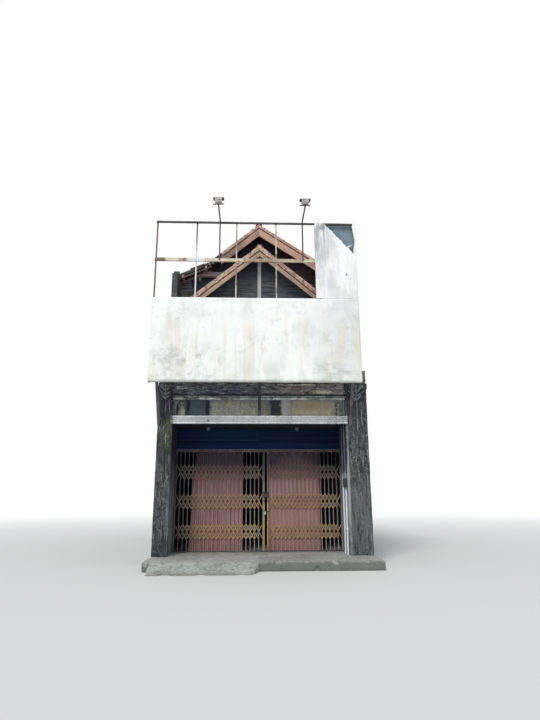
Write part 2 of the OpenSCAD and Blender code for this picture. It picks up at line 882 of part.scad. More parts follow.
// A pole up the frame's front, and an arm from its top towards the street
module lamp_arms() {
    arm_z = sign_top + tube / 2;
    color([0.18, 0.19, 0.20])
        for (x = arm_x) {
            block([x - arm_w / 2, x + arm_w / 2], [arm_y, arm_y + arm_w], [sign_rail_3, arm_z]);
            block([x - arm_w / 2, x + arm_w / 2], [arm_y - arm_run, arm_y + arm_w],
                [arm_z, arm_z + arm_w]);
        }
}

// Lamp bodies on the arms' ends, each between a lower and an upper cross bar
module floodlights() {
    foot = sign_top + tube / 2 + arm_w;
    front = arm_y - arm_run;
    bar_y = [front + (flood_d - flood_bar_d) / 2, front + (flood_d + flood_bar_d) / 2];
    body_w = flood_w - 2 * flood_in;
    color([0.62, 0.63, 0.64])
        for (x = arm_x) {
            block([x - flood_w / 2, x + flood_w / 2], bar_y, [foot, foot + flood_bar_t]);
            block([x - body_w / 2, x + body_w / 2], [front, front + flood_d],
                [foot + flood_bar_t, foot + flood_bar_t + flood_h]);
            block([x - flood_w / 2, x + flood_w / 2], bar_y,
                [foot + flood_bar_t + flood_h, foot + 2 * flood_bar_t + flood_h]);
        }
}

plinth();
front_ramp();
left_party_wall();
right_party_wall();
left_pier();
right_pier();
left_pier_head();
right_pier_head();
front_beam();
lintel_moulding();
front_ledge();
front_parapet();
side_parapets();
upper_floor();
porch_ceiling();
ceiling_lamps();
gate_head_wall();
gate_header_panel();
gate_track();
gate_floor_rail();
gate_left_bars();
gate_left_links();
gate_right_bars();
gate_right_links();
gate_stiles();
gate_backing_sheets();
gate_latch();
jamb_pipes();
back_wall_lower();
back_wall_upper();
back_door();
back_window_frames();
back_window_glass();
front_room_wall();
front_room_side_walls();
front_room_window();
front_room_glass();
low_gable_boarding();
low_gable_post();
low_soffit();
low_roof_left();
low_roof_right();
low_ridge_cap();
low_barge_boards();
upper_front_wall();
main_roof_left();
main_roof_right();
main_ridge_cap();
main_barge_boards();
sign_posts();
sign_rails();
sign_braces();
sign_ties();
sign_sheet_lower();
sign_sheet_upper();
sign_back_sheet();
lamp_arms();
floodlights();
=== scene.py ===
import math
import random
from contextlib import contextmanager

import bpy
from mathutils import Matrix, Vector


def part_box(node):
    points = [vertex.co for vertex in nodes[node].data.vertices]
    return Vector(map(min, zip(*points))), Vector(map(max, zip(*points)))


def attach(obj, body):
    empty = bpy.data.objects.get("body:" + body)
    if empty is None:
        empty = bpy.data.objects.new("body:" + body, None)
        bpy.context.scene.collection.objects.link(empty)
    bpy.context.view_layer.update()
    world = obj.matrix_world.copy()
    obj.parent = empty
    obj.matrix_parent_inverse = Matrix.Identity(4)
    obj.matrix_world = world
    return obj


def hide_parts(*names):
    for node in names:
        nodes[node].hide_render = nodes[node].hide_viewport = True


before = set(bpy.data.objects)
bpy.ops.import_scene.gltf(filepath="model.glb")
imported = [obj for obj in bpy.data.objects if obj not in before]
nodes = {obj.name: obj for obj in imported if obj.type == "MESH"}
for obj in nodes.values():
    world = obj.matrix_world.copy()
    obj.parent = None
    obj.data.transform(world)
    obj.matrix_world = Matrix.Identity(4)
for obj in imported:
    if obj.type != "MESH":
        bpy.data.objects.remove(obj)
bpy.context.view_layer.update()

# Slopes of the roofs, in radians
LOW_PITCH = math.radians(40)
RIGHT_PITCH = math.radians(34)
LEFT_PITCH = math.radians(40.5)
SAG_PITCH = math.radians(24)

# Turns of a rod or of wood grain: along the house's width, towards the street, or upright
ACROSS = UPRIGHT = (0, math.pi / 2, 0)
TO_STREET = (math.pi / 2, 0, 0)
LEVEL = (0, 0, 0)

# A reach in metres past every end of the house, for what has no end along an axis
FAR = 9

# Width of a bar of the folding gate
BAR_WIDTH = 0.022

# Where the gate's two backing sheets begin and end, and how far their colour shows round their middles
SHEET_ENDS = {"left": (-1.58, -0.36), "right": (0.25, 1.42)}
SHEET_REACH = 0.64

# Colours that several finishes share, as they look on screen, 0 to 255
MOULD = (30, 32, 35)
DARK_DAMP = (52, 54, 56)
MOSS = (74, 82, 48)
PALE_LIME = (176, 176, 168)
RUST = (112, 62, 38)
DARK_RUST = (58, 38, 30)
DUST = (150, 142, 126)


# Shader building

def paint(colour):
    """A colour as it looks on screen, in Blender's linear values."""
    parts = [value / 255 for value in colour]
    return tuple(p / 12.92 if p < 0.04 else ((p + 0.055) / 1.055) ** 2.4 for p in parts) + (1.0,)


def bare_tree(holder):
    """The empty node tree of a material or a world."""
    holder.use_nodes = True
    holder.node_tree.nodes.clear()
    return holder.node_tree


def add(tree, kind, inputs=None, **settings):
    """A node with its settings; each input is a plain value or another node's output."""
    made = tree.nodes.new("ShaderNode" + kind)
    for name, value in settings.items():
        setattr(made, name, value)
    for name, value in (inputs or {}).items():
        socket = made.inputs[name]
        if isinstance(value, bpy.types.NodeSocket):
            tree.links.new(value, socket)
        else:
            socket.default_value = value
    return made


def calculate(tree, operation, first, second=0.0):
    return add(tree, "Math", {0: first, 1: second}, operation=operation).outputs[0]


def ease(tree, value, low, high, **ends):
    """0 below low and 1 above high, with a smooth step between."""
    inputs = {"Value": value, "From Min": low, "From Max": high}
    inputs.update((name.replace("_", " "), end) for name, end in ends.items())
    return add(tree, "MapRange", inputs, interpolation_type="SMOOTHSTEP").outputs[0]


def new_group(name, inputs, outputs):
    """A shader group placed by Size, Turn and Shift: the group, its inputs, its outputs and its place."""
    group = bpy.data.node_groups.new(name, "ShaderNodeTree")
    placing = {"Size": (1.0, 1.0, 1.0), "Turn": (0.0, 0.0, 0.0), "Shift": (0.0, 0.0, 0.0)}
    for socket, value in {**placing, **inputs}.items():
        kind = "NodeSocketVector" if isinstance(value, tuple) else "NodeSocketFloat"
        group.interface.new_socket(socket, in_out="INPUT", socket_type=kind).default_value = value
    for socket in outputs:
        group.interface.new_socket(socket, in_out="OUTPUT", socket_type="NodeSocketFloat")
    given = group.nodes.new("NodeGroupInput").outputs
    place = add(group, "Mapping", {
        "Vector": add(group, "TexCoord").outputs["Object"],
        "Location": given["Shift"], "Rotation": given["Turn"], "Scale": given["Size"],
    }, vector_type="TEXTURE").outputs[0]
    return group, given, group.nodes.new("NodeGroupOutput").inputs, place


def make_patches():
    """Cloudy patches; Size is how far one reaches along each axis, in metres."""
    group, given, result, place = new_group(
        "patches", {"Detail": 4.0, "Low": 0.4, "High": 0.6}, ["Mask", "Height"])
    noise = add(group, "TexNoise", {
        "Vector": place, "Scale": 1.0, "Detail": given["Detail"], "Roughness": 0.6,
    }).outputs[0]
    group.links.new(ease(group, noise, given["Low"], given["High"]), result["Mask"])
    group.links.new(noise, result["Height"])
    return group


def make_spot():
    """One soft spot round Shift that reaches Size along each axis, with a ragged edge."""
    group, given, result, place = new_group(
        "spot", {"Soft": 0.2, "Ragged": 0.5, "Grain": 8.0}, ["Mask"])
    reach = add(group, "VectorMath", {0: place}, operation="LENGTH").outputs["Value"]
    noise = add(group, "TexNoise", {
        "Vector": add(group, "TexCoord").outputs["Object"], "Scale": given["Grain"],
        "Detail": 4.0, "Roughness": 0.6,
    }).outputs[0]
    uneven = calculate(group, "MULTIPLY", calculate(group, "SUBTRACT", noise, 0.5), given["Ragged"])
    edge = calculate(group, "ADD", reach, uneven)
    inner = calculate(group, "SUBTRACT", 1.0, given["Soft"])
    outer = calculate(group, "ADD", 1.0, given["Soft"])
    group.links.new(ease(group, edge, inner, outer, To_Min=1.0, To_Max=0.0), result["Mask"])
    return group


def make_courses():
    """A random shade for each board, tile or brick of a given Size, and the joints between them."""
    group, given, result, place = new_group(
        "courses", {"Low": 0.3, "High": 0.8, "Joint": 0.06}, ["Mask", "Joints"])
    whole = add(group, "VectorMath", {0: place}, operation="FLOOR").outputs[0]
    shade = add(group, "TexWhiteNoise", {"Vector": whole}, noise_dimensions="3D").outputs["Value"]
    inside = add(group, "VectorMath", {0: place}, operation="FRACTION").outputs[0]
    up = add(group, "SeparateXYZ", {0: inside}).outputs[2]
    from_middle = calculate(group, "ABSOLUTE", calculate(group, "SUBTRACT", up, 0.5))
    joint_edge = calculate(group, "SUBTRACT", 0.5, given["Joint"])
    group.links.new(ease(group, shade, given["Low"], given["High"]), result["Mask"])
    group.links.new(ease(group, from_middle, joint_edge, 0.5), result["Joints"])
    return group


GROUPS = {"patches": make_patches(), "spot": make_spot(), "courses": make_courses()}


# Masks: each names a group, the values that place it and the output that is read

def patches(size, low=0.42, high=0.6, turn=LEVEL, shift=(0, 0, 0), detail=4.0):
    size = size if isinstance(size, tuple) else (size, size, size)
    values = {"Size": size, "Low": low, "High": high, "Turn": turn, "Shift": shift, "Detail": detail}
    return "patches", values, "Mask"


def spot(centre, reach, soft=0.25, ragged=0.8, grain=8.0, turn=LEVEL):
    values = {"Shift": centre, "Size": reach, "Soft": soft, "Ragged": ragged, "Grain": grain, "Turn": turn}
    return "spot", values, "Mask"


def courses(size, low=0.2, high=0.9, turn=LEVEL, shift=(0, 0, 0), joint=0.06, output="Mask"):
    values = {"Size": size, "Low": low, "High": high, "Turn": turn, "Shift": shift, "Joint": joint}
    return "courses", values, output


def on_face(y, deep):
    """A short form for spots on an upright face: middle x and z, reach across and up, and the edge."""
    def placed(x, z, wide, tall, *edge):
        return spot((x, y, z), (wide, deep, tall), *edge)
    return placed


FINISHES = {}


class Finish:
    """A material made as a painter would: a base colour, layers over it, and relief."""

    def __init__(self, name, colour, roughness, **shader_inputs):
        FINISHES[name] = self
        self.material = bpy.data.materials.new(name)
        self.tree = bare_tree(self.material)
        inputs = {"Base Color": paint(colour), "Roughness": roughness}
        inputs.update((key.replace("_", " "), value) for key, value in shader_inputs.items())
        self.shader = add(self.tree, "BsdfPrincipled", inputs)
        add(self.tree, "OutputMaterial", {"Surface": self.shader.outputs[0]})

    def look(self, kind, values, output):
        """The output of a group that is placed with its own values."""
        placed = add(self.tree, "Group")
        placed.node_tree = GROUPS[kind]
        for name, value in values.items():
            placed.inputs[name].default_value = value
        return placed.outputs[output]

    def lay(self, socket_name, mask, value, kind, first, second, result):
        """Mixes a value over what a shader input has so far."""
        socket = self.shader.inputs[socket_name]
        mix = self.tree.nodes.new("ShaderNodeMix")
        mix.data_type = kind
        if socket.is_linked:
            self.tree.links.new(socket.links[0].from_socket, mix.inputs[first])
        else:
            mix.inputs[first].default_value = socket.default_value
        mix.inputs[second].default_value = value
        self.tree.links.new(mask, mix.inputs[0])
        self.tree.links.new(mix.outputs[result], socket)

    def over(self, colour, amount, *masks, roughness=None):
        """A layer of colour, and of roughness if it has its own, where all its masks say."""
        total = self.look(*masks[0])
        for mask in masks[1:]:
            total = calculate(self.tree, "MULTIPLY", total, self.look(*mask))
        total = calculate(self.tree, "MULTIPLY", total, amount)
        self.lay("Base Color", total, paint(colour), "RGBA", 6, 7, 2)
        if roughness is not None:
            self.lay("Roughness", total, roughness, "FLOAT", 2, 3, 0)
        return self

    def layers(self, *rows):
        """Several layers in order; each row is a colour, an amount and one or more masks."""
        for row in rows:
            self.over(*row)
        return self

    def relief(self, depth, size, detail=4.0, turn=LEVEL):
        """Raises the surface in lumps of a size, by a depth in metres."""
        kind, values = patches(size, turn=turn, detail=detail)[:2]
        inputs = {"Height": self.look(kind, values, "Height"), "Distance": depth, "Strength": 1.0}
        normal = self.shader.inputs["Normal"]
        if normal.is_linked:
            inputs["Normal"] = normal.links[0].from_socket
        self.tree.links.new(add(self.tree, "Bump", inputs).outputs[0], normal)
        return self


# Kinds of finish

def grit(made, amount):
    """Small dark and pale flecks, a few centimetres across."""
    return made.layers(
        (MOULD, amount, patches((0.05, 0.05, 0.035), 0.5, 0.62, shift=(7, 2, 3), detail=6)),
        (PALE_LIME, amount * 0.8, patches((0.04, 0.04, 0.03), 0.54, 0.66, shift=(2, 7, 9), detail=6)))


def plaster(name, colour, faded, mould=0.8, moss=0.4, lime=0.4):
    """Old painted plaster: faded clouds, black mould that runs down, moss, bare lime, grit and pits."""
    made = Finish(name, colour, 0.9).layers(
        (faded, 0.8, patches((0.7, 0.7, 0.5))),
        (DARK_DAMP, mould, patches((0.11, 0.11, 0.9), 0.47, 0.66, detail=6)),
        (PALE_LIME, lime, patches(0.16, 0.58, 0.7), patches(0.03, 0.4)),
        (MOULD, mould, patches((0.3, 0.3, 0.45), 0.5, 0.66), patches(0.035, 0.35)),
        (MOSS, moss, patches(0.42, 0.5, 0.62, shift=(3, 1, 2)), patches(0.05, 0.4, 0.62)))
    return grit(made, 0.3).relief(0.006, 0.09).relief(0.002, 0.014, 6)


def timber(name, colour, dark, turn, board, wear=0.5, pale=PALE_LIME, **shader_inputs):
    """Sawn boards: long grain along the first axis after the turn, knots of dirt and bare wood."""
    return Finish(name, colour, 0.72, **shader_inputs).layers(
        (dark, 0.55, courses(board, turn=turn)),
        (dark, 0.75, patches((0.9, 0.02, 0.02), 0.45, 0.7, turn, detail=6)),
        (pale, wear * 0.6, patches((0.5, 0.05, 0.05), 0.56, 0.72, turn, (2, 0, 1))),
        (MOULD, wear, patches(0.22, 0.56, 0.72), patches((0.2, 0.03, 0.03), 0.35, 0.6, turn)),
    ).relief(0.0012, (0.5, 0.006, 0.006), 6, turn)


def rusty_paint(name, colour, rust, metallic=0.1, roughness=0.6):
    """Thin paint on steel, dusty, with rust that breaks through."""
    made = Finish(name, colour, roughness, Metallic=metallic)
    made.over(DUST, 0.35, patches(0.35, 0.45, 0.7))
    made.over(RUST, rust, patches((0.2, 0.2, 0.3), 0.46, 0.62), patches(0.02, 0.35), roughness=0.9)
    made.over(DARK_RUST, rust, patches(0.12, 0.54, 0.68), patches(0.008, 0.3), roughness=0.95)
    return made.relief(0.0006, 0.008, 6)


def roof_tiles(name, turn):
    """Fired clay, each tile of its own shade, with soot and moss in the laps."""
    tile = (0.28, 0.22, FAR)
    return Finish(name, (158, 104, 86), 0.85).layers(
        ((112, 66, 54), 0.9, courses(tile, turn=turn)),
        ((192, 150, 132), 0.6, courses(tile, 0.6, 0.95, turn, (5, 3, 0))),
        ((58, 48, 46), 0.85, patches((0.5, 0.4, 0.5), 0.44, 0.66), patches(0.04, 0.35)),
        (MOSS, 0.5, patches(0.6, 0.5, 0.66, shift=(4, 2, 0)), patches(0.05, 0.42, 0.62)),
    ).relief(0.003, 0.03, 6)


def edge_tiles(name, turn):
    """Paler, pinkish edge tiles, limed in places and dark along their joints."""
    return Finish(name, (212, 171, 150), 0.85).layers(
        ((172, 124, 106), 0.8, courses((0.27, FAR, FAR), 0.3, 0.7, turn)),
        ((232, 208, 192), 0.7, patches((0.2, 0.1, 0.04), 0.5, 0.62, turn)),
        ((86, 62, 58), 0.8, patches((0.09, 0.1, 0.06), 0.52, 0.62, shift=(1, 4, 2)),
         patches(0.03, 0.3, 0.55)),
    ).relief(0.003, 0.03, 6)


# Finishes of the masonry

def pier_plaster(name, colour, faded, moss):
    """Pier plaster: smooth and dark at the top, streaked and mossy lower down."""
    return plaster(name, colour, faded, 0.6, moss, 0.35).layers(
        ((120, 118, 116), 0.45, patches((0.07, 0.2, 0.7), 0.46, 0.64, shift=(3, 0, 1))),
        ((34, 38, 42), 0.8, patches((0.07, 0.07, 0.11), 0.47, 0.58, shift=(4, 4, 4), detail=6)),
        ((142, 148, 150), 0.6, patches((0.035, 0.035, 0.06), 0.55, 0.64, shift=(6, 0, 2), detail=6)),
        ((38, 46, 50), 0.75, spot((-2.1, 0, 2.8), (0.6, 0.4, 0.7), 0.5, 0.8, 4)),
        ((92, 106, 66), 0.7, spot((-2.0, 0, 2.8), (0.25, 0.3, 0.4), 0.5, 1.2, 6), patches(0.04, 0.46, 0.56)),
        ((54, 55, 66), 0.88, spot((0, 0, 3.42), (FAR, 0.5, 0.34), 0.08, 0.25, 5)),
        ((96, 102, 106), 0.6, spot((2.2, 0, 3.42), (0.5, 0.4, 0.3), 0.5, 0.9, 6),
         patches((0.1, 0.1, 0.2), 0.4, 0.58)),
        (MOULD, 0.85, patches((0.035, 0.2, 0.9), 0.5, 0.62, detail=5)),
        (MOULD, 0.7, patches((0.12, 0.2, 0.2), 0.54, 0.62, shift=(1, 0, 8), detail=6)),
        ((164, 166, 168), 0.5, patches((0.03, 0.2, 0.4), 0.57, 0.64, shift=(9, 0, 4), detail=5)))


def beam_plaster():
    """Faded yellow plaster with its own dark patches."""
    at = on_face(0, 0.4)
    beam = Finish("beam plaster", (148, 147, 134), 0.9).layers(
        ((132, 132, 118), 0.75, patches((0.5, 0.5, 0.2))),
        ((104, 104, 98), 0.75, patches((0.05, 0.05, 0.4), 0.48, 0.66, detail=6)),
        ((178, 174, 146), 0.6, patches((0.1, 0.1, 0.16), 0.5, 0.64, shift=(4, 0, 2), detail=5)))
    grit(beam, 0.45).layers(
        # Painted shadow: a grey band under the ledge.
        ((98, 98, 98), 0.8, at(0, 3.54, FAR, 0.11, 0.5, 0.9, 6)),
        ((164, 148, 124), 0.6, at(1.15, 3.3, 0.5, 0.2, 0.5, 1.4, 5)),
        ((150, 112, 88), 0.5, at(1.2, 3.33, 0.3, 0.08, 0.5, 1.6, 9), patches(0.06, 0.4)),
        ((158, 152, 92), 0.55, at(-0.66, 3.36, 0.025, 0.16, 0.5, 0.9)),
        ((160, 162, 160), 0.6, at(0.56, 3.3, 0.1, 0.6, 0.6, 1.6, 9)),
        ((84, 92, 88), 0.7, at(0.24, 3.28, 0.1, 1.2, 0.5, 0.8, 6)),
        ((34, 42, 54), 0.97, at(0.365, 3.36, 0.12, 0.5, 0.3, 1.5, 8)),
        ((40, 50, 40), 0.85, at(0.43, 3.16, 0.08, 0.09, 0.4, 1.4, 9)),
        ((58, 64, 76), 0.97, at(-1.36, 3.26, 0.25, 0.45, 0.12, 1.0, 8)),
        ((86, 94, 102), 0.7, at(-1.4, 3.26, 0.17, 0.2, 0.5, 0.9, 7), patches((0.02, 0.1, 0.06))),
        ((18, 22, 26), 0.95, at(-1.155, 3.28, 0.045, 0.4, 0.4, 2.4, 12)),
        ((42, 50, 48), 0.95, at(-1.78, 3.3, 0.2, 0.9, 0.14, 0.8, 6)),
        ((122, 128, 122), 0.6, at(-1.76, 3.4, 0.14, 0.12, 0.4, 2.4, 10),
         patches((0.05, 0.1, 0.06), 0.44, 0.52)),
        ((160, 164, 150), 0.8, at(-1.71, 3.2, 0.06, 0.1, 0.3, 1.8, 14)),
        ((140, 146, 140), 0.7, at(-1.8, 3.19, 0.035, 0.05, 0.3, 1.8, 16)),
        ((18, 24, 26), 0.95, at(-1.585, 3.36, 0.045, 0.16, 0.3, 1.8, 11)),
        ((20, 26, 26), 0.9, at(-1.83, 3.24, 0.04, 0.12, 0.3, 1.6, 13)),
        ((52, 58, 54), 0.92, at(1.86, 3.3, 0.16, 0.9, 0.2, 1.4, 7)),
        ((132, 138, 128), 0.8, at(1.8, 3.3, 0.09, 0.22, 0.4, 2.2, 10),
         patches((0.05, 0.1, 0.07), 0.42, 0.54)),
        # Painted shade: a dark navy strip along the beam's underside in the porch.
        ((16, 20, 34), 0.95, spot((0, 0.15, 2.92), (FAR, 0.4, 0.06), 0.3, 0.2)),
    ).relief(0.005, 0.08).relief(0.002, 0.014, 6)


def parapet_plaster():
    """Black mould over brown plaster, with flakes of old lime left on it."""
    at = on_face(0, 0.4)
    Finish("parapet plaster", (140, 134, 132), 0.95).layers(
        ((112, 100, 94), 0.75, patches((0.5, 0.4, 0.2))),
        ((76, 82, 96), 0.9, at(-1.6, 3.8, 1.7, 0.7, 0.4, 0.6, 3)),
        ((150, 156, 158), 0.65, patches((0.14, 0.1, 0.05), 0.5, 0.62, shift=(5, 0, 1), detail=6)),
        (MOULD, 0.9, patches((0.2, 0.12, 0.05), 0.5, detail=6), patches(0.04, 0.3, 0.55)),
        ((30, 36, 42), 0.92, at(1.0, 3.93, 1.0, 0.09, 0.3, 1.2, 8)),
        ((196, 200, 206), 0.8, at(-0.9, 3.885, 1.3, 0.01, 0.4, 1.4, 7)),
        # Painted shadow: a dark line just above the ledge.
        ((40, 42, 48), 0.85, at(0, 3.59, FAR, 0.03, 0.4, 1.6, 9)),
        ((206, 208, 202), 0.9, patches((0.3, 0.3, 0.04), 0.57, 0.63, shift=(2, 0, 5)),
         patches(0.03, 0.42, 0.58)),
        ((214, 214, 206), 0.95, at(0.9, 3.83, 0.5, 0.014, 0.4, 2.2, 12), patches((0.12, 0.1, 0.1), 0.4, 0.5)),
        ((208, 200, 180), 0.9, at(1.45, 3.66, 0.2, 0.035, 0.3, 3.0, 20)),
    ).relief(0.014, 0.1).relief(0.005, 0.02, 6)


def moulding_plaster():
    """Chalky white, with painted shade in the grooves between the beads, and worn at both ends."""
    low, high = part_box("lintel_moulding")
    bead = (high.z - low.z) / 4
    plaster("moulding plaster", (238, 241, 241), (212, 215, 218), 0.22, 0.0, 0.05).layers(
        # Painted shade in the grooves between the beads.
        ((46, 48, 54), 0.95, courses((FAR, FAR, bead), shift=(0, 0, low.z), joint=0.17, output="Joints")),
        ((160, 162, 164), 0.4, spot((0, -0.03, 3.03), (FAR, 0.2, 0.05), 0.4, 0.6, 5)),
        ((70, 72, 74), 0.6, spot((1.75, -0.03, 3.03), (0.2, 0.2, 0.12), 0.4, 2.0, 9),
         patches((0.05, 0.1, 0.02), 0.4)),
        ((78, 80, 80), 0.85, spot((-1.955, -0.03, 3.02), (0.05, 0.1, 0.3), 0.3, 0.9, 12)),
        ((170, 170, 172), 0.6, patches((0.7, 0.3, 0.09), 0.5, 0.66)),
        ((48, 48, 50), 0.9, spot((-1.13, -0.03, 3.003), (0.03, 0.1, 0.016), 0.4, 0.6, 30)))


def masonry_finishes():
    """Plaster and concrete of every part."""
    pier_plaster("left pier plaster", (70, 76, 84), (58, 66, 68), 0.85).layers(
        # Painted shade: the upper inner jamb is dark blue; the lower jamb is painted paler.
        ((10, 18, 40), 0.95, spot((-1.92, 0.6, 2.5), (0.08, 0.6, 1.7), 0.3, 0.4)),
        ((128, 136, 140), 0.85, spot((-1.92, 0.4, 0.8), (0.06, 0.6, 1.1), 0.5, 0.8),
         patches((0.1, 0.1, 0.6), 0.35)))
    pier_plaster("right pier plaster", (62, 68, 80), (74, 78, 84), 0.35).layers(
        ((112, 118, 118), 0.55, spot((2.15, 0, 0.75), (0.6, 0.6, 0.9), 0.6, 1.0, 4),
         patches((0.06, 0.2, 0.5), 0.36, 0.56, shift=(2, 1, 1))),
        ((170, 172, 164), 0.8, spot((1.92, 0.72, 1.4), (0.03, 0.22, 2.2), 0.1, 0.4),
         patches((0.05, 0.05, 0.5), 0.3)),
        # Painted highlight down the pier's front inner edge.
        ((164, 168, 168), 0.8, spot((1.935, 0.02, 1.7), (0.035, 0.12, 1.3), 0.4, 1.2, 8)),
        # Painted shade: the upper inner jamb is dark blue.
        ((34, 38, 54), 0.92, spot((1.92, 0.4, 2.65), (0.04, 0.55, 0.85), 0.25, 0.8, 6)))
    plaster("pier head plaster", (64, 69, 78), (38, 42, 50), 0.8, 0.4, 0.6)
    plaster("pier relief plaster", (146, 152, 156), (96, 102, 106), 0.7, 0.3, 0.8)
    beam_plaster()
    parapet_plaster()
    moulding_plaster()
    plaster("ledge plaster", (148, 152, 152), (108, 112, 114), 0.6, 0.25)
    plaster("ledge bead plaster", (206, 210, 206), (166, 172, 166), 0.45, 0.3).over(
        (90, 92, 96), 0.8, patches((0.25, 0.2, 0.2), 0.5, shift=(6, 1, 1)))
    plaster("wall plaster", (134, 134, 130), (112, 112, 108), 0.6, 0.35).over(
        (60, 64, 72), 0.85, spot((0, 1.1, 6.9), (FAR, 0.5, 0.8), 0.4, 0.6, 4),
        patches((0.5, 0.5, 0.05), 0.3, 0.56))
    # Darker than the outer wall plaster, as painted shade inside the porch.
    plaster("inner wall plaster", (92, 93, 92), (78, 78, 76), 0.5, 0.0, 0.2)
    plaster("ridge mortar", (150, 138, 128), (120, 108, 100), 0.6, 0.4)
    plaster("floor concrete", (178, 178, 178), (156, 157, 155), 0.3, 0.1, 0.4).layers(
        # Painted shade on the plinth's front riser.
        ((104, 108, 102), 0.8, spot((0, -0.95, 0.06), (FAR, 0.06, 0.13), 0.3, 0.9, 5)),
        ((104, 102, 96), 0.5, spot((0, 0.9, 0.18), (2.4, 0.25, 0.1), 0.5, 0.8, 5)))
    plaster("ramp concrete", (174, 176, 172), (148, 150, 146), 0.35, 0.1, 0.5).over(
        (128, 126, 118), 0.6, spot((-1.0, -1.42, 0.02), (2, 0.1, 0.1), 0.4, 0.9, 5))


# Finishes of the woodwork and roofs

def gable_wall_boards():
    """Dark upright boards of the main gable, over plastered masonry at the left eave."""
    at = on_face(1.8, 0.6)
    board = 0.16
    masonry = spot((-2.1, 1.8, 6.0), (0.38, 0.5, 1.42), 0.03, 0.15, 6)
    timber("upper gable boards", (44, 47, 62), (28, 30, 42), UPRIGHT, (FAR, FAR, board), 0.3,
           (84, 84, 92)).layers(
        ((18, 18, 24), 0.9, courses((board, FAR, FAR), joint=0.05, output="Joints")),
        ((96, 84, 84), 0.7, at(1.5, 7.2, 0.8, 0.5, 0.5, 0.9, 4), patches((0.5, 0.5, 0.04), 0.4, 0.56)),
        ((66, 72, 88), 0.8, at(-1.35, 7.0, 0.6, 0.26, 0.5, 1.2, 6), patches((0.06, 0.3, 0.12), 0.44, 0.56)),
        ((140, 146, 156), 0.95, masonry),
        ((62, 66, 74), 0.85, masonry, patches((0.6, 0.6, 0.05), 0.44, 0.56)),
        (MOSS, 0.6, masonry, patches(0.2, 0.5)))


def wood_finishes():
    """Boards and beams; each timber is told its grain's turn and its board's size."""
    at = on_face(0.45, 0.3)
    plain = (FAR, FAR, FAR)
    timber("ceiling boards", (12, 17, 38), (8, 11, 26), LEVEL, (2.0, 0.12, FAR), 0.2)
    timber("header boards", (31, 48, 84), (16, 25, 50), LEVEL, (4.0, FAR, 0.05), 0.1, (44, 54, 88),
           Specular_IOR_Level=0.05)
    timber("gable boards", (58, 68, 82), (38, 46, 60), LEVEL, (1.3, FAR, 0.14), 0.4, (104, 112, 118)).layers(
        # Painted shade: darker at the gable's top under the low roof.
        ((26, 32, 52), 0.75, at(0, 7.15, 0.85, 0.45, 0.5, 0.4, 3)),
        ((106, 112, 112), 0.55, at(0, 6.3, 3, 0.3, 0.6, 0.8, 4), patches((0.5, 0.5, 0.05), 0.4)))
    gable_wall_boards()
    timber("pale wood", (204, 208, 196), (172, 174, 160), UPRIGHT, plain, 0.6)
    timber("roof timber", (56, 52, 54), (36, 33, 36), (0, 0, math.pi / 2), (3, 0.12, FAR), 0.6)
    timber("rafter wood", (172, 160, 166), (104, 96, 102), LEVEL, plain, 0.7)
    # A dark strip of painted shade: the shadow line under the verge tiles.
    timber("verge shade batten", (56, 36, 34), (32, 22, 24), LEVEL, plain, 0.3)
    timber("door wood", (104, 78, 58), (74, 54, 40), UPRIGHT, (FAR, FAR, 0.3), 0.5)
    timber("frame wood", (112, 88, 68), (80, 62, 48), UPRIGHT, plain, 0.5)
    for side, low, main in (("left", -LOW_PITCH, -LEFT_PITCH), ("right", LOW_PITCH, RIGHT_PITCH)):
        turn = (0, low, 0)
        timber("soffit boards " + side, (184, 176, 136), (154, 146, 108), turn, (0.9, 0.1, FAR), 0.2)
        timber("low barge board " + side, (206, 178, 150), (172, 142, 118), turn,
               (2.2, FAR, 0.2), 0.4).layers(
            ((150, 98, 74), 0.7, patches((0.8, 0.1, 0.03), 0.54, 0.68, turn)),
            ((128, 112, 104), 0.55, patches((0.35, 0.2, 0.12), 0.5, 0.64, turn)))
        turn = (0, main, 0)
        timber("main barge board " + side, (206, 165, 140), (168, 128, 106), turn,
               (2.2, FAR, 0.24), 0.4).layers(
            ((140, 88, 68), 0.7, patches((0.8, 0.1, 0.03), 0.54, 0.68, turn, (3, 0, 1))),
            ((124, 98, 92), 0.55, patches((0.35, 0.2, 0.12), 0.5, 0.64, turn)),
            ((104, 80, 76), 0.75, spot((-0.95, 1.4, 7.75), (0.45, 0.6, 0.4), 0.6, 0.6, 4)))


def roof_finishes():
    """Tiles of each slope, so that their courses follow its pitch."""
    for name, turn in (("low left", -LOW_PITCH), ("low right", LOW_PITCH), ("main left", -LEFT_PITCH),
                       ("main right", RIGHT_PITCH)):
        roof_tiles(name + " roof tiles", (0, turn, 0))
        edge_tiles(name + " verge tiles", (0, turn, 0))
    roof_tiles("ridge tiles", LEVEL)
    roof_tiles("sag roof tiles", (0, -SAG_PITCH, 0)).layers(
        ((196, 146, 134), 0.7, patches(0.3, 0.42, 0.56)),
        ((218, 156, 142), 0.8, spot((-1.7, 1.25, 7.3), (0.7, 0.4, 0.5), 0.3, 0.9, 7)))


# Finishes of the gate and the sign

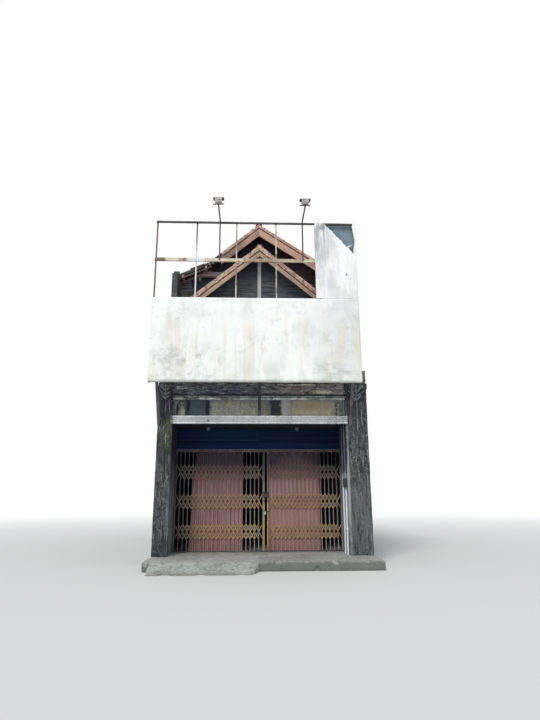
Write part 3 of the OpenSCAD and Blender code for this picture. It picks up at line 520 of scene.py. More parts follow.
def gate_finishes():
    """Worn paint on the gate, pinkish before its sheets and yellow low down; painted shade darkens its upper
    part under the porch's head and its left end.
    """
    at = on_face(0.9, 1)
    before_sheets = [at(sum(ends) / 2, 1.2, SHEET_REACH, FAR, 0.1, 0.1, 3) for ends in SHEET_ENDS.values()]
    left_shade = at(-1.9, 1.4, 0.45, 3, 0.6, 0.3, 3)
    rusty_paint("gate bar paint", (164, 160, 156), 0.25).layers(
        *(((178, 148, 140), 0.75, mask) for mask in before_sheets),
        # Painted shade: the upper bars turn grey and then dark under the porch's head.
        ((112, 104, 114), 0.85, at(0, 2.2, FAR, 1.1, 0.5, 0.3, 3)),
        ((50, 44, 62), 0.9, at(0, 2.5, FAR, 0.5, 0.5, 0.3, 3)),
        ((76, 76, 84), 0.7, left_shade))
    rusty_paint("gate link paint", (150, 137, 112), 0.4).layers(
        *(((146, 113, 86), 0.85, mask) for mask in before_sheets),
        ((170, 138, 82), 0.5, patches((0.3, 0.3, 0.2), 0.45)),
        ((176, 148, 90), 0.45, at(0, 0.7, FAR, 0.4, 0.5, 0.4, 3)),
        # Painted shade on the upper links.
        ((92, 76, 68), 0.8, at(0, 2.3, FAR, 0.6, 0.5, 0.4, 3)),
        ((104, 98, 86), 0.6, left_shade))
    rusty_paint("stile paint", (150, 138, 116), 0.35).layers(
        ((186, 162, 100), 0.85, at(0, 0.6, FAR, 0.75, 0.1, 0.3, 3)),
        ((150, 116, 78), 0.6, patches((0.2, 0.3, 0.3), 0.48, 0.62)),
        # Painted shade on the upper stiles.
        ((78, 76, 86), 0.9, at(0, 2.7, FAR, 1.1, 0.5, 0.4, 3)))
    rusty_paint("gate sheet paint", (166, 122, 124), 0.25, roughness=0.55).layers(
        ((140, 98, 100), 0.7, patches((0.25, 0.3, 0.5))),
        ((112, 76, 80), 0.6, patches((0.03, 0.3, 2.0), 0.45, 0.58, detail=5)),
        # Painted shade: the sheets turn dark purple near the top.
        ((40, 24, 44), 0.95, at(0, 2.46, FAR, 0.56, 0.4, 0.4, 2)),
        ((190, 146, 136), 0.45, spot((0.83, 0.95, 1.2), (0.64, 1, 1.0), 0.3, 0.3, 3)))
    rusty_paint("track paint", (72, 66, 72), 0.4)
    rusty_paint("latch steel", (30, 28, 31), 0.12)
    rusty_paint("padlock steel", (186, 182, 168), 0.2, metallic=0.3)
    clamp = Finish("clamp plastic", (36, 36, 44), 0.6)
    clamp.over((84, 82, 84), 0.6, patches(0.04, 0.46, 0.62), roughness=0.8)
    pipes = Finish("pipe plastic", (236, 241, 252), 0.45)
    pipes.over((176, 176, 182), 0.5, patches((0.05, 0.05, 0.5), 0.48, 0.68), roughness=0.7)
    # Painted shade: the pipes turn dark blue-grey towards the top of the porch.
    pipes.over((48, 50, 64), 0.94, spot((1.9, 0.3, 2.75), (1, 1, 1.0), 0.2, 0.5, 5))


def vinyl():
    """White vinyl: grey clouds, faint rust that runs down, dirt low down with a band of painted shade along
    the lower edge, and one small hole.
    """
    at = on_face(-0.52, 1)
    Finish("sign vinyl", (252, 253, 252), 0.5).layers(
        ((224, 226, 224), 0.7, patches((0.3, 1, 0.7), 0.45, 0.66)),
        ((208, 212, 216), 0.35, patches((0.12, 1, 0.1), 0.54, 0.66, detail=6),
         patches((0.7, 1, 0.5), 0.45, 0.62)),
        ((252, 253, 252), 0.8, at(-0.7, 4.7, 1.3, 0.55, 0.5, 0.9, 3)),
        ((222, 226, 226), 0.6, at(1.9, 4.7, 0.7, 0.9, 0.5, 1.2, 3)),
        ((232, 216, 190), 0.5, patches((0.16, 1, 1.6), 0.5, 0.66, detail=5),
         at(0, 4.4, FAR, 0.75, 0.5, 0.9, 2)),
        ((206, 192, 172), 0.45, patches((0.05, 1, 0.8), 0.6, 0.74), patches((0.6, 1, 0.9), 0.5),
         at(0, 4.3, FAR, 0.8, 0.5, 0.9, 2)),
        ((176, 180, 184), 0.35, patches((0.4, 1, 0.3), 0.52, 0.68), patches((0.12, 1, 0.1), 0.4, 0.66)),
        # Painted shade: a grey band along the sheet's lower hem.
        ((158, 162, 160), 0.7, at(0, 3.76, FAR, 0.06, 0.6, 1.4, 5)),
        ((172, 176, 176), 0.6, at(-1.85, 4.12, 0.9, 0.5, 0.6, 1.6, 4), patches((0.22, 0.2, 0.2), 0.4, 0.66)),
        ((176, 176, 170), 0.5, at(1.7, 4.0, 0.5, 0.2, 0.6, 1.6, 4), patches((0.2, 0.2, 0.1), 0.4)),
        ((166, 172, 180), 0.85, at(1.38, 7.2, 0.26, 0.55, 0.5, 0.8, 4), patches((0.05, 1, 0.5), 0.42, 0.56)),
        ((208, 212, 218), 0.6, at(1.5, 6.6, 0.4, 1.0, 0.5, 0.8, 4), patches((0.12, 1, 0.7), shift=(1, 1, 1))),
        ((128, 128, 118), 0.75, at(1.45, 7.5, 0.07, 0.09, 0.5, 1.6, 12)),
        ((60, 58, 56), 0.9, spot((1.99, -0.52, 6.3), (0.018, 0.1, 0.035), 0.3, 0.6, 30)),
    ).relief(0.0004, 0.004)


def vinyl_back():
    """The grey woven side, with a pale diagonal streak across it."""
    at = on_face(-0.44, 1)
    Finish("vinyl back", (122, 138, 150), 0.7).layers(
        ((104, 118, 128), 0.8, patches((0.2, 1, 0.3))),
        ((78, 84, 86), 0.75, at(2.08, 6.86, 0.16, 0.16, 0.4, 0.7, 6)),
        ((80, 88, 100), 0.6, at(1.8, 7.6, 0.5, 0.04, 0.5, 0.7, 6)),
        ((226, 234, 236), 0.95, at(2.03, 7.02, 0.14, 0.022, 0.3, 0.3, 20, (0, math.radians(-33), 0))),
    ).relief(0.0004, 0.003)


def sign_finishes():
    """Frame, lamps and glass."""
    at = on_face(-0.5, 0.3)
    rusty_paint("sign steel", (176, 160, 136), 0.8).layers(
        ((222, 214, 194), 0.75, patches(0.5, 0.44, 0.58)),
        ((120, 88, 66), 0.7, patches((0.14, 0.5, 0.2), 0.54, 0.62, shift=(2, 1, 6))),
        ((222, 228, 232), 0.85, at(-1.47, 6.4, 0.2, 1.0, 0.2, 0.4)),
        ((64, 60, 66), 0.85, at(-1.47, 7.6, 0.2, 0.6, 0.4, 0.6)),
        ((88, 66, 58), 0.85, at(-2.39, 6.4, 0.2, 1.9, 0.2, 0.9)),
        ((34, 38, 48), 0.9, at(0, 7.6, FAR, 0.05, 0.3, 0.3)))
    rusty_paint("brace steel", (74, 72, 82), 0.12).layers(
        ((34, 34, 42), 0.9, spot((0, 0, 3.6), (0.5, 1, 0.4), 0.3, 0.5)),
        ((96, 92, 84), 0.7, spot((0, 0, 3.17), (0.5, 0.3, 0.06), 0.3, 0.8)))
    rusty_paint("lamp steel", (42, 46, 58), 0.3, metallic=0.2)
    Finish("floodlight shell", (196, 192, 192), 0.5, Metallic=0.3).over(
        (130, 122, 124), 0.7, patches((0.2, 0.2, 0.03), 0.45, 0.62), roughness=0.75)
    # The opal bowls are painted dark bluish grey as shade under the porch ceiling.
    Finish("lamp opal", (92, 98, 120), 0.35).over((110, 110, 116), 0.6, patches(0.04, 0.5, 0.7))
    Finish("window glass", (150, 166, 172), 0.08, Transmission_Weight=0.85, IOR=1.45).over(
        DUST, 0.5, patches(0.3, 0.45, 0.7), roughness=0.5)
    vinyl()
    vinyl_back()


masonry_finishes()
wood_finishes()
roof_finishes()
gate_finishes()
sign_finishes()


# Modelling

def deselect():
    if bpy.context.object and bpy.context.object.mode != "OBJECT":
        bpy.ops.object.mode_set(mode="OBJECT")
    bpy.ops.object.select_all(action="DESELECT")


def choose(piece):
    """Makes one piece the only selected and the active one."""
    deselect()
    piece.select_set(True)
    bpy.context.view_layer.objects.active = piece


def name_new(name):
    """Names the primitive just added, and moves its place and size into its mesh."""
    piece = bpy.context.object
    piece.name = piece.data.name = name
    bpy.ops.object.transform_apply(location=True, rotation=True, scale=True)
    return piece


def block(name, low, high, rotation=(0, 0, 0)):
    deselect()
    low, high = Vector(low), Vector(high)
    bpy.ops.mesh.primitive_cube_add(size=1, location=(low + high) / 2, scale=high - low, rotation=rotation)
    return name_new(name)


def rod(name, centre, radius, length, rotation=(0, 0, 0), sides=16, squash=1.0):
    deselect()
    bpy.ops.mesh.primitive_cylinder_add(vertices=sides, radius=1, depth=1, location=centre,
                                        scale=(radius, radius * squash, length), rotation=rotation)
    return name_new(name)


def ball(name, centre, radii, rotation=(0, 0, 0), rings=10, segments=16):
    deselect()
    bpy.ops.mesh.primitive_uv_sphere_add(segments=segments, ring_count=rings, radius=1, location=centre,
                                         scale=radii, rotation=rotation)
    return name_new(name)


def ring(name, centre, radius, thickness, rotation=TO_STREET):
    deselect()
    bpy.ops.mesh.primitive_torus_add(location=centre, rotation=rotation, major_segments=24,
                                     minor_segments=8, major_radius=radius, minor_radius=thickness)
    return name_new(name)


def grid(name, x, z, y, columns, rows):
    """An upright grid of faces that looks towards the street."""
    deselect()
    bpy.ops.mesh.primitive_grid_add(
        x_subdivisions=columns, y_subdivisions=rows, size=1,
        location=((x[0] + x[1]) / 2, y, (z[0] + z[1]) / 2), rotation=TO_STREET)
    bpy.context.object.scale = (x[1] - x[0], z[1] - z[0], 1)
    return name_new(name)


@contextmanager
def editing(piece, pick=None, kind="FACE"):
    """Edit mode, with only the faces or vertices that pick says chosen, or with everything."""
    choose(piece)
    bpy.ops.object.mode_set(mode="EDIT")
    bpy.ops.mesh.select_mode(type=kind)
    bpy.ops.mesh.select_all(action="SELECT" if pick is None else "DESELECT")
    if pick is not None:
        bpy.ops.object.mode_set(mode="OBJECT")
        for part in piece.data.polygons if kind == "FACE" else piece.data.vertices:
            part.select = bool(pick(part))
        bpy.ops.object.mode_set(mode="EDIT")
    yield
    bpy.ops.object.mode_set(mode="OBJECT")


def copy_of(node, name):
    """A copy of a CAD node's mesh, with its loose triangles merged."""
    piece = bpy.data.objects.new(name, nodes[node].data.copy())
    bpy.context.scene.collection.objects.link(piece)
    with editing(piece):
        bpy.ops.mesh.remove_doubles(threshold=0.0001)
        bpy.ops.mesh.dissolve_limited(angle_limit=math.radians(1))
    return piece


def join(name, pieces):
    deselect()
    for piece in pieces:
        piece.select_set(True)
    bpy.context.view_layer.objects.active = pieces[0]
    bpy.ops.object.join()
    pieces[0].name = pieces[0].data.name = name
    return pieces[0]


def cut(piece, place, away, fill=True):
    """Cuts a piece by a plane, and takes off the side that away points to."""
    with editing(piece):
        bpy.ops.mesh.bisect(plane_co=place, plane_no=away, use_fill=fill, clear_outer=True)
    return piece


def recess(piece, way, margin, depth):
    """Sinks a panel into the faces that look one way, inside a margin; below 0 it stands out."""
    way = Vector(way)
    with editing(piece, lambda face: face.normal.dot(way) > 0.9):
        bpy.ops.mesh.inset(thickness=margin, depth=0)
        bpy.ops.mesh.extrude_region_move(TRANSFORM_OT_translate={"value": way * -depth})
    return piece


def modify(piece, kind, **settings):
    """Adds a modifier, sets it and applies it."""
    choose(piece)
    change = piece.modifiers.new(kind.title(), kind)
    for name, value in settings.items():
        setattr(change, name, value)
    bpy.ops.object.modifier_apply(modifier=change.name)
    return piece


def array(piece, count, step):
    return modify(piece, "ARRAY", count=count, use_relative_offset=False, use_constant_offset=True,
                  constant_offset_displace=step)


def bevel(piece, width, segments=2):
    return modify(piece, "BEVEL", width=width, segments=segments, limit_method="ANGLE",
                  angle_limit=math.radians(40))


def thicken(piece, thickness, offset=0):
    return modify(piece, "SOLIDIFY", thickness=thickness, offset=offset)


def push(piece, size, depth, level=0.6):
    """Moves the surface in and out by lumps of a size and depth in metres."""
    lumps = bpy.data.textures.new("lumps", "CLOUDS")
    lumps.noise_scale, lumps.noise_depth = size, 2
    return modify(piece, "DISPLACE", texture=lumps, texture_coords="LOCAL", strength=depth, mid_level=level)


def chip(piece, chips):
    """Knocks rounded bits out of an edge; each has a place and a radius."""
    for number, (centre, radius) in enumerate(chips):
        tool = ball("chip", centre, (radius * 1.6, radius, radius), (0, 0.3 * number, 0))
        modify(piece, "BOOLEAN", operation="DIFFERENCE", object=tool, solver="MANIFOLD")
        bpy.data.objects.remove(tool)
    return piece


def weather(piece, cell, *lumps, chips=()):
    """Old plaster: a fine even mesh, chips, then lumps that are each given by size and depth."""
    modify(piece, "REMESH", mode="VOXEL", voxel_size=cell)
    chip(piece, chips)
    for size, depth in lumps:
        push(piece, size, depth)
    return piece


def lay_on_slope(piece, start, side, pitch, length, lift=0.0):
    """Lays a piece that is modelled flat round the origin on a slope, with its lower end at start."""
    turn = Matrix.Rotation(side * (pitch - math.radians(lift)), 4, "Y")
    shift = Matrix.Translation((-side * length / 2, 0, 0))
    piece.data.transform(Matrix.Translation(start) @ turn @ shift)
    return piece


def cover(piece, finish):
    piece.data.materials.clear()
    piece.data.materials.append(FINISHES[finish].material)


def settle(piece, finish, slot, *replaced, smooth=40):
    """Gives a piece its finish and shading, and fixes it to the building."""
    choose(piece)
    bpy.ops.object.shade_smooth_by_angle(angle=math.radians(smooth))
    cover(piece, finish)
    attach(piece, "root")
    if replaced:
        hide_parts(*replaced)
    return piece


def dress_cad_nodes():
    """Finishes and softened edges for the nodes that stay as they are."""
    for finish, width, names in (
            ("wall plaster", 0.012, "left_party_wall right_party_wall back_wall_lower back_wall_upper"),
            ("wall plaster", 0.012, "front_room_wall front_room_side_walls"),
            ("upper gable boards", 0, "upper_front_wall"),
            ("inner wall plaster", 0, "gate_head_wall upper_floor"),
            ("parapet plaster", 0.010, "side_parapets"),
            ("ceiling boards", 0, "porch_ceiling"),
            ("header boards", 0.003, "gate_header_panel"),
            ("track paint", 0.004, "gate_track gate_floor_rail"),
            ("pipe plastic", 0, "jamb_pipes"),
            ("frame wood", 0.006, "back_window_frames front_room_window"),
            ("window glass", 0, "back_window_glass front_room_glass"),
            ("gable boards", 0, "low_gable_boarding"),
            ("pale wood", 0.006, "low_gable_post"),
            ("roof timber", 0, "low_roof_left low_roof_right main_roof_left main_roof_right"),
            ("ridge mortar", 0, "low_ridge_cap main_ridge_cap"),
            ("sign steel", 0.004, "sign_posts sign_rails"),
            ("brace steel", 0.004, "sign_braces sign_ties"),
            ("lamp steel", 0.004, "lamp_arms")):
        for name in names.split():
            cover(nodes[name], finish)
            if width:
                nodes[name].modifiers.new("Weld", "WELD").merge_threshold = 0.0001
                edge = nodes[name].modifiers.new("Soft edges", "BEVEL")
                edge.width, edge.segments, edge.angle_limit = width, 2, math.radians(40)


# Masonry

def worn_masonry():
    """Piers, beam, parapet and ledge, with the uneven faces and soft arrises of old plaster."""
    ledge_chips = [((-1.06, -0.05, 3.57), 0.075), ((0.35, -0.055, 3.575), 0.035), ((1.2, -0.055, 3.57), 0.03),
                   ((-1.7, -0.055, 3.575), 0.04), ((-1.32, -0.05, 3.54), 0.05)]
    for node, cell, fine, chips, finish, slot in (
            ("left_pier", 0.020, 0.007, (), "left pier plaster", "pier_plaster"),
            ("right_pier", 0.020, 0.007, (), "right pier plaster", "pier_plaster"),
            ("front_beam", 0.018, 0.007, (), "beam plaster", "beam_plaster"),
            ("front_parapet", 0.016, 0.02, (), "parapet plaster", "pier_plaster"),
            ("front_ledge", 0.011, 0.007, ledge_chips, "ledge plaster", "moulding_plaster")):
        piece = copy_of(node, "worn_" + node.replace("front_", ""))
        weather(piece, cell, (0.25, 0.014), (0.05, fine), chips=chips)
        settle(piece, finish, slot, node, smooth=60)


def leaf_relief(middle, half, top, front):
    """One moulded leaf: a spine, three pairs of curved lobes and a scroll on each side of its tip."""
    parts = [ball("spine", (middle, front, top - 0.21), (0.022, 0.03, 0.17))]
    for lean in (-1, 1):
        for height, reach, turn in ((0.30, 0.42, 0.75), (0.21, 0.60, 0.95), (0.11, 0.50, 0.70)):
            parts.append(ball("lobe", (middle + lean * half * reach * 0.75, front, top - height),
                              (0.024, 0.03, half * reach), (0, lean * turn, 0)))
        tip = (middle + lean * half * 0.62, front, top - 0.055)
        parts.append(ring("scroll", tip, 0.034, 0.016))
        parts.append(ball("eye", tip, (0.014, 0.025, 0.014)))
    parts.append(ball("bud", (middle, front, top - 0.05), (0.035, 0.03, 0.035)))
    return parts


def pier_heads():
    """Stepped heads with a moulded leaf, broken and furred with mould."""
    for name in ("left_pier_head", "right_pier_head"):
        low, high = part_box(name)
        middle, half = (low.x + high.x) / 2, (high.x - low.x) / 2
        piece = weather(copy_of(name, "carved_" + name), 0.010, (0.07, 0.022), (0.02, 0.008))
        settle(piece, "pier head plaster", "pier_plaster", name, smooth=60)
        parts = leaf_relief(middle, half * 0.8, high.z - 0.02, low.y + 0.012)
        if name == "right_pier_head":
            for x, bottom in ((2.19, 2.80), (2.29, 2.92)):
                parts.append(rod("drip", (x, -0.004, (bottom + low.z) / 2), 0.013, low.z - bottom, sides=8))
        relief = weather(join(name.replace("head", "leaf"), parts), 0.006, (0.03, 0.010))
        settle(relief, "pier relief plaster", "pier_plaster", smooth=60)


def corner_fillets():
    """Two slim upright fillets beside each pier, and the rounded bead under the ledge."""
    low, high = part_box("front_beam")
    parts = []
    for side in (-1, 1):
        for inwards, radius in ((0.022, 0.014), (0.064, 0.011)):
            parts.append(rod("fillet", (side * (high.x - inwards), 0.002, 3.34), radius, 0.42, sides=10))
    piece = weather(join("corner_fillets", parts), 0.006, (0.05, 0.006))
    settle(piece, "pier relief plaster", "pier_plaster", smooth=60)

    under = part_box("front_ledge")[0].z - 0.024
    bead = rod("ledge_bead", (0, 0, under), 0.03, high.x - low.x, ACROSS, squash=1.45)
    weather(bead, 0.007, (0.12, 0.008), chips=[
        ((-1.55, -0.045, 3.50), 0.05), ((-1.2, -0.045, 3.52), 0.03), ((0.1, -0.05, 3.50), 0.03)])
    settle(bead, "ledge bead plaster", "moulding_plaster", smooth=60)


def ribbed_moulding():
    """The ribbed band over the porch: four beads, chipped along their edges."""
    low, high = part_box("lintel_moulding")
    length, deep, pitch = high.x - low.x, high.y - low.y, (high.z - low.z) / 4
    radius = pitch * 0.46
    parts = [block("ribbed_moulding", (low.x, high.y - deep * 0.45, low.z), (high.x, high.y, high.z))]
    for number in range(4):
        centre = (0, high.y - deep / 2, low.z + (number + 0.5) * pitch)
        parts.append(rod("bead", centre, radius, length, ACROSS, squash=deep / 2 / radius))
    piece = weather(join("ribbed_moulding", parts), 0.0065, (0.06, 0.003), chips=[
        ((-1.13, -0.055, 3.003), 0.014), ((0.9, -0.05, 2.94), 0.012), ((1.75, -0.05, 3.1), 0.02),
        ((-1.93, -0.05, 3.06), 0.03), ((-1.9, -0.05, 2.95), 0.025)])
    settle(piece, "moulding plaster", "moulding_plaster", "lintel_moulding", smooth=60)


def worn_porch():
    """The porch floor and plinth: a trowelled slab with a crumbled front edge."""
    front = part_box("plinth")[0].y
    behind_gate = (0, 1.0, 0)
    piece = cut(copy_of("plinth", "worn_plinth"), behind_gate, (0, 1, 0))
    weather(piece, 0.024, (0.3, 0.010), (0.05, 0.005), chips=[
        ((0.35, front, 0.17), 0.05), ((0.9, front, 0.18), 0.035), ((1.45, front, 0.17), 0.06),
        ((2.1, front, 0.18), 0.04), ((-2.2, front, 0.17), 0.06), ((1.1, front, 0.02), 0.05)])
    rest = bevel(cut(copy_of("plinth", "rest"), behind_gate, (0, -1, 0)), 0.008)
    settle(join("worn_plinth", [piece, rest]), "floor concrete", "floor_concrete", "plinth", smooth=60)


def broken_ramp():
    """Cast ramp with crumbled edges and a slanting right end."""
    low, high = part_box("front_ramp")
    piece = cut(copy_of("front_ramp", "broken_ramp"), (high.x, high.y, 0), (1, -0.3, 0))
    chip(piece, [((-0.35, low.y, 0.03), 0.06), ((-1.1, low.y, 0.03), 0.07), ((-1.75, low.y, 0.02), 0.08),
                 ((-0.06, -1.1, 0.14), 0.05), ((low.x, -1.3, 0.05), 0.07), ((-0.1, -1.32, 0.05), 0.05)])
    weather(piece, 0.013, (0.16, 0.018), (0.03, 0.006))
    settle(piece, "ramp concrete", "floor_concrete", "front_ramp", smooth=60)


# Roofs

def roof_lines():
    """Where the four slopes begin and end, as (x, z) on their upper faces."""
    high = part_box("low_roof_right")[1]
    main_top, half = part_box("main_roof_right")[1].z, high.x
    knee = (-1.25, main_top - 1.25 * math.tan(LEFT_PITCH))
    low_foot = high.z - half * math.tan(LOW_PITCH)
    return {
        "low": (0, high.z), "low left": (-half, low_foot), "low right": (half, low_foot),
        "main": (0, main_top), "knee": knee, "sag": (-half, knee[1] - (half + knee[0]) * math.tan(SAG_PITCH)),
        "main right": (half, main_top - half * math.tan(RIGHT_PITCH)),
        "barge end": (-1.0, main_top - math.tan(LEFT_PITCH)),
    }


def roof_tile(name, length, width, start, side, pitch):
    """One pan tile with a roll at its side, lying on the slope with its lower edge at start."""
    deselect()
    bpy.ops.mesh.primitive_grid_add(x_subdivisions=2, y_subdivisions=6, size=1)
    bpy.context.object.scale = (length, width, 1)
    piece = name_new(name)
    heights = (0.016, 0.020, 0.012, 0.003, 0.0, 0.002, 0.008)
    columns = sorted({round(vertex.co.y, 4) for vertex in piece.data.vertices})
    for vertex in piece.data.vertices:
        vertex.co.z = heights[columns.index(round(vertex.co.y, 4))]
    return lay_on_slope(thicken(piece, 0.012, 1), start, side, pitch, length, 1.6)


def lost_tiles(columns, rows):
    """Tiles that have gone from the sagging slope: most at the front, fewer further back."""
    chance = random.Random(4)
    lost = set()
    for row in range(rows):
        for column in range(columns):
            odds = 0.75 if column == 0 else 0.45 if column < 3 else 0.08 if column < 8 else 0.02
            if chance.random() < odds:
                lost.add(row * columns + column)
    return lost


def tiled_slope(name, ridge, eave, pitch, y, rows):
    """Courses of tiles from the eave to the ridge. ridge and eave are (x, z) on the slope's top face."""
    side = 1 if eave[0] > ridge[0] else -1
    step = Vector((ridge[0] - eave[0], 0, ridge[1] - eave[1])) / rows
    columns = round((y[1] - y[0]) / 0.22)
    width = (y[1] - y[0]) / columns
    start = (eave[0], y[0] + width / 2, eave[1] + 0.003)
    piece = roof_tile(name.replace(" ", "_") + "_tiles", step.length + 0.07, width * 1.06, start, side, pitch)
    faces = len(piece.data.polygons)
    array(piece, columns, (0, width, 0))
    array(piece, rows, tuple(step))
    if name == "sag":
        lost = lost_tiles(columns, rows)
        with editing(piece, lambda face: (face.index // faces) in lost):
            bpy.ops.mesh.delete(type="FACE")
    push(piece, 0.5, 0.014, 0.5)
    settle(piece, name + " roof tiles", "roof_tile", smooth=35)


def verge_tiles(name, top, foot, pitch, y, depth):
    """Edge tiles along a gable, each with a lip over the barge board, and below them a dark batten that
    stands for the shadow line under the verge.
    """
    side = 1 if foot[0] > top[0] else -1
    run = Vector((top[0] - foot[0], 0, top[1] - foot[1]))
    count = max(2, round(run.length / 0.27))
    step = run / count
    half = (step.length + 0.03) / 2
    start = (foot[0], y, foot[1])
    piece_name = name.replace(" ", "_") + "_verge"
    flat = block(piece_name, (-half, 0, 0.002), (half, 0.16, 0.022))
    lip = block("lip", (-half, -0.016, -depth + 0.022), (half, 0.004, 0.022))
    piece = lay_on_slope(bevel(join(piece_name, [flat, lip]), 0.004), start, side, pitch, half * 2, 2.5)
    array(piece, count, tuple(step))
    push(piece, 0.12, 0.012, 0.5)
    settle(piece, name + " verge tiles", "roof_tile", smooth=35)

    # The dark batten under the edge tiles is painted shade: it stands for the shadow line below the verge.
    half = run.length / 2
    batten = block(piece_name + "_shade_batten", (-half, -0.009, -depth - 0.004), (half, 0.004, -depth + 0.03))
    lay_on_slope(bevel(batten, 0.002, 1), start, side, pitch, run.length)
    settle(batten, "verge shade batten", "barge_wood")


def ridge_tiles(name, node, drop):
    """Half-round tiles over a ridge, each flared over the next, on the mortar of the solid cap."""
    low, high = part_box(node)
    radius, lap = 0.075, 0.04
    count = int((high.y - low.y) / 0.3)
    length = (high.y - low.y) / count + lap
    middle = high.z - drop
    piece = rod(name, (0, low.y + length / 2 - 0.01, middle), radius, length, TO_STREET, 20)
    with editing(piece, lambda face: abs(face.normal.y) > 0.9):
        bpy.ops.mesh.delete(type="ONLY_FACE")
    cut(piece, (0, 0, middle - radius * 0.25), (0, 0, -1), fill=False)
    with editing(piece, lambda vertex: vertex.co.y < low.y, "VERT"):
        bpy.ops.transform.resize(value=(1.14, 1, 1.1), center_override=(0, low.y, middle))
    bevel(thicken(piece, 0.012, 1), 0.003, 1)
    array(piece, count, (0, length - lap, 0))
    push(piece, 0.3, 0.008, 0.5)
    settle(piece, "ridge tiles", "roof_tile")


def roofs():
    """Tiles and edge tiles; the solid slabs below them stay as their boarding."""
    line = roof_lines()
    main_low, main_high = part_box("main_roof_right")
    low_y = (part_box("low_roof_right")[0].y - 0.01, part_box("upper_front_wall")[0].y)
    main_y = (main_low.y - 0.01, main_high.y + 0.01)
    for name, top, foot, pitch, y, rows in (
            ("low left", "low", "low left", LOW_PITCH, low_y, 10),
            ("low right", "low", "low right", LOW_PITCH, low_y, 10),
            ("main right", "main", "main right", RIGHT_PITCH, main_y, 9),
            ("main left", "main", "knee", LEFT_PITCH, main_y, 6),
            ("sag", "knee", "sag", SAG_PITCH, main_y, 3)):
        tiled_slope(name, line[top], line[foot], pitch, y, rows)
    front, main_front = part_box("low_barge_boards")[0].y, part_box("main_barge_boards")[0].y
    for name, top, foot, pitch, y, depth in (
            ("low left", "low", "low left", LOW_PITCH, front, 0.10),
            ("low right", "low", "low right", LOW_PITCH, front, 0.10),
            ("main left", "main", "barge end", LEFT_PITCH, main_front, 0.075),
            ("main right", "main", "main right", RIGHT_PITCH, main_front, 0.075)):
        verge_tiles(name, line[top], line[foot], pitch, y, depth)


def broken_eave():
    """Rafters, purlins and split battens that show below the tiles of the sagging slope."""
    line = roof_lines()
    knee, foot = line["knee"], line["sag"]
    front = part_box("main_roof_left")[0].y
    parts = []
    for share, y, length, lean in ((0.2, front - 0.05, 0.5, 0.06), (0.9, front - 0.02, 0.48, 0.03)):
        x = knee[0] + (foot[0] - knee[0]) * share
        z = knee[1] + (foot[1] - knee[1]) * share - 0.115
        parts.append(block("purlin", (x - 0.022, y, z - 0.035), (x + 0.022, y + length, z + 0.035),
                           (0, SAG_PITCH, lean)))
    x, z = (knee[0] + foot[0]) / 2, (knee[1] + foot[1]) / 2 - 0.1
    for y in (front + 0.07, front + 0.36):
        parts.append(block("rafter", (x - 0.5, y, z - 0.03), (x + 0.44, y + 0.045, z + 0.03),
                           (0, -SAG_PITCH, 0)))
    for x, z, turn, reach in ((-1.34, 7.40, 0.9, 0.08), (-1.24, 7.44, 1.1, 0.07), (-1.50, 7.36, -0.5, 0.06),
                              (-1.14, 7.50, 0.8, 0.05), (-1.42, 7.41, 1.3, 0.05)):
        parts.append(block("batten", (x - reach, front - 0.04, z - 0.010),
                           (x + reach, front - 0.018, z + 0.010), (0, turn, 0)))
    settle(bevel(join("broken_eave_timbers", parts), 0.003, 1), "rafter wood", "barge_wood")
    plate = block("eave_wall_plate", (-1.70, 1.64, 7.17), (-0.95, 1.76, 7.30))
    recess(plate, (0, -1, 0), 0.012, 0.006)
    cleats = [block("cleat", (x - 0.03, 1.7, 7.06), (x + 0.03, 1.81, 7.2)) for x in (-1.6, -1.05)]
    settle(bevel(join("eave_wall_plate", [plate] + cleats), 0.003, 1), "rafter wood", "barge_wood")


def mortar_dabs():
    """Dabs of mortar squeezed out between the edge tiles of the lower gable."""
    line = roof_lines()
    top, foot = line["low"], line["low right"]
    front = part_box("low_barge_boards")[0].y
    chance = random.Random(11)
    parts = []
    for side in (-1, 1):
        for number in range(1, 10):
            share = number / 10
            for drop in (0.0, 0.05):
                size = 0.011 + 0.008 * chance.random()
                x = foot[0] * share + 0.02 * chance.random()
                z = top[1] + (foot[1] - top[1]) * share - drop - 0.01 * chance.random()
                parts.append(ball("dab", (side * x, front - 0.016, z), (size * 1.4, 0.008, size),
                                  rings=5, segments=8))
    piece = join("mortar_dabs", parts)
    push(piece, 0.02, 0.006)
    settle(piece, "ridge mortar", "roof_tile")


def gable_woodwork():
    """Barge boards and soffits, split at the ridge so that the grain follows each slope; lapped boards."""
    for name, node, edge, finish, slot in (
            ("low_barge", "low_barge_boards", 0.004, "low barge board", "barge_wood"),
            ("main_barge", "main_barge_boards", 0.004, "main barge board", "barge_wood"),
            ("low_lining", "low_soffit", 0.002, "soffit boards", "soffit_wood")):
        for side, sign in (("left", -1), ("right", 1)):
            piece = cut(copy_of(node, name + "_" + side), (0, 0, 0), (-sign, 0, 0))
            settle(bevel(piece, edge), finish + " " + side, slot, node)
    low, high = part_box("low_gable_boarding")
    cover_height, lap, thick = 0.14, 0.01, 0.016
    board = block("lapped_gable_boards", (low.x, low.y - thick, low.z),
                  (high.x, low.y + 0.004, low.z + cover_height + lap))
    with editing(board, lambda v: v.co.z > low.z + cover_height / 2 and v.co.y < low.y, "VERT"):
        bpy.ops.transform.translate(value=(0, thick * 0.75, 0))
    array(board, math.ceil((high.z - low.z) / cover_height), (0, 0, cover_height))
    for side in (-1, 1):
        cut(board, (0, 0, high.z), (side * math.sin(LOW_PITCH), 0, math.cos(LOW_PITCH)))
    settle(bevel(board, 0.0015, 1), "gable boards", "gable_board")


# Sign and lamps

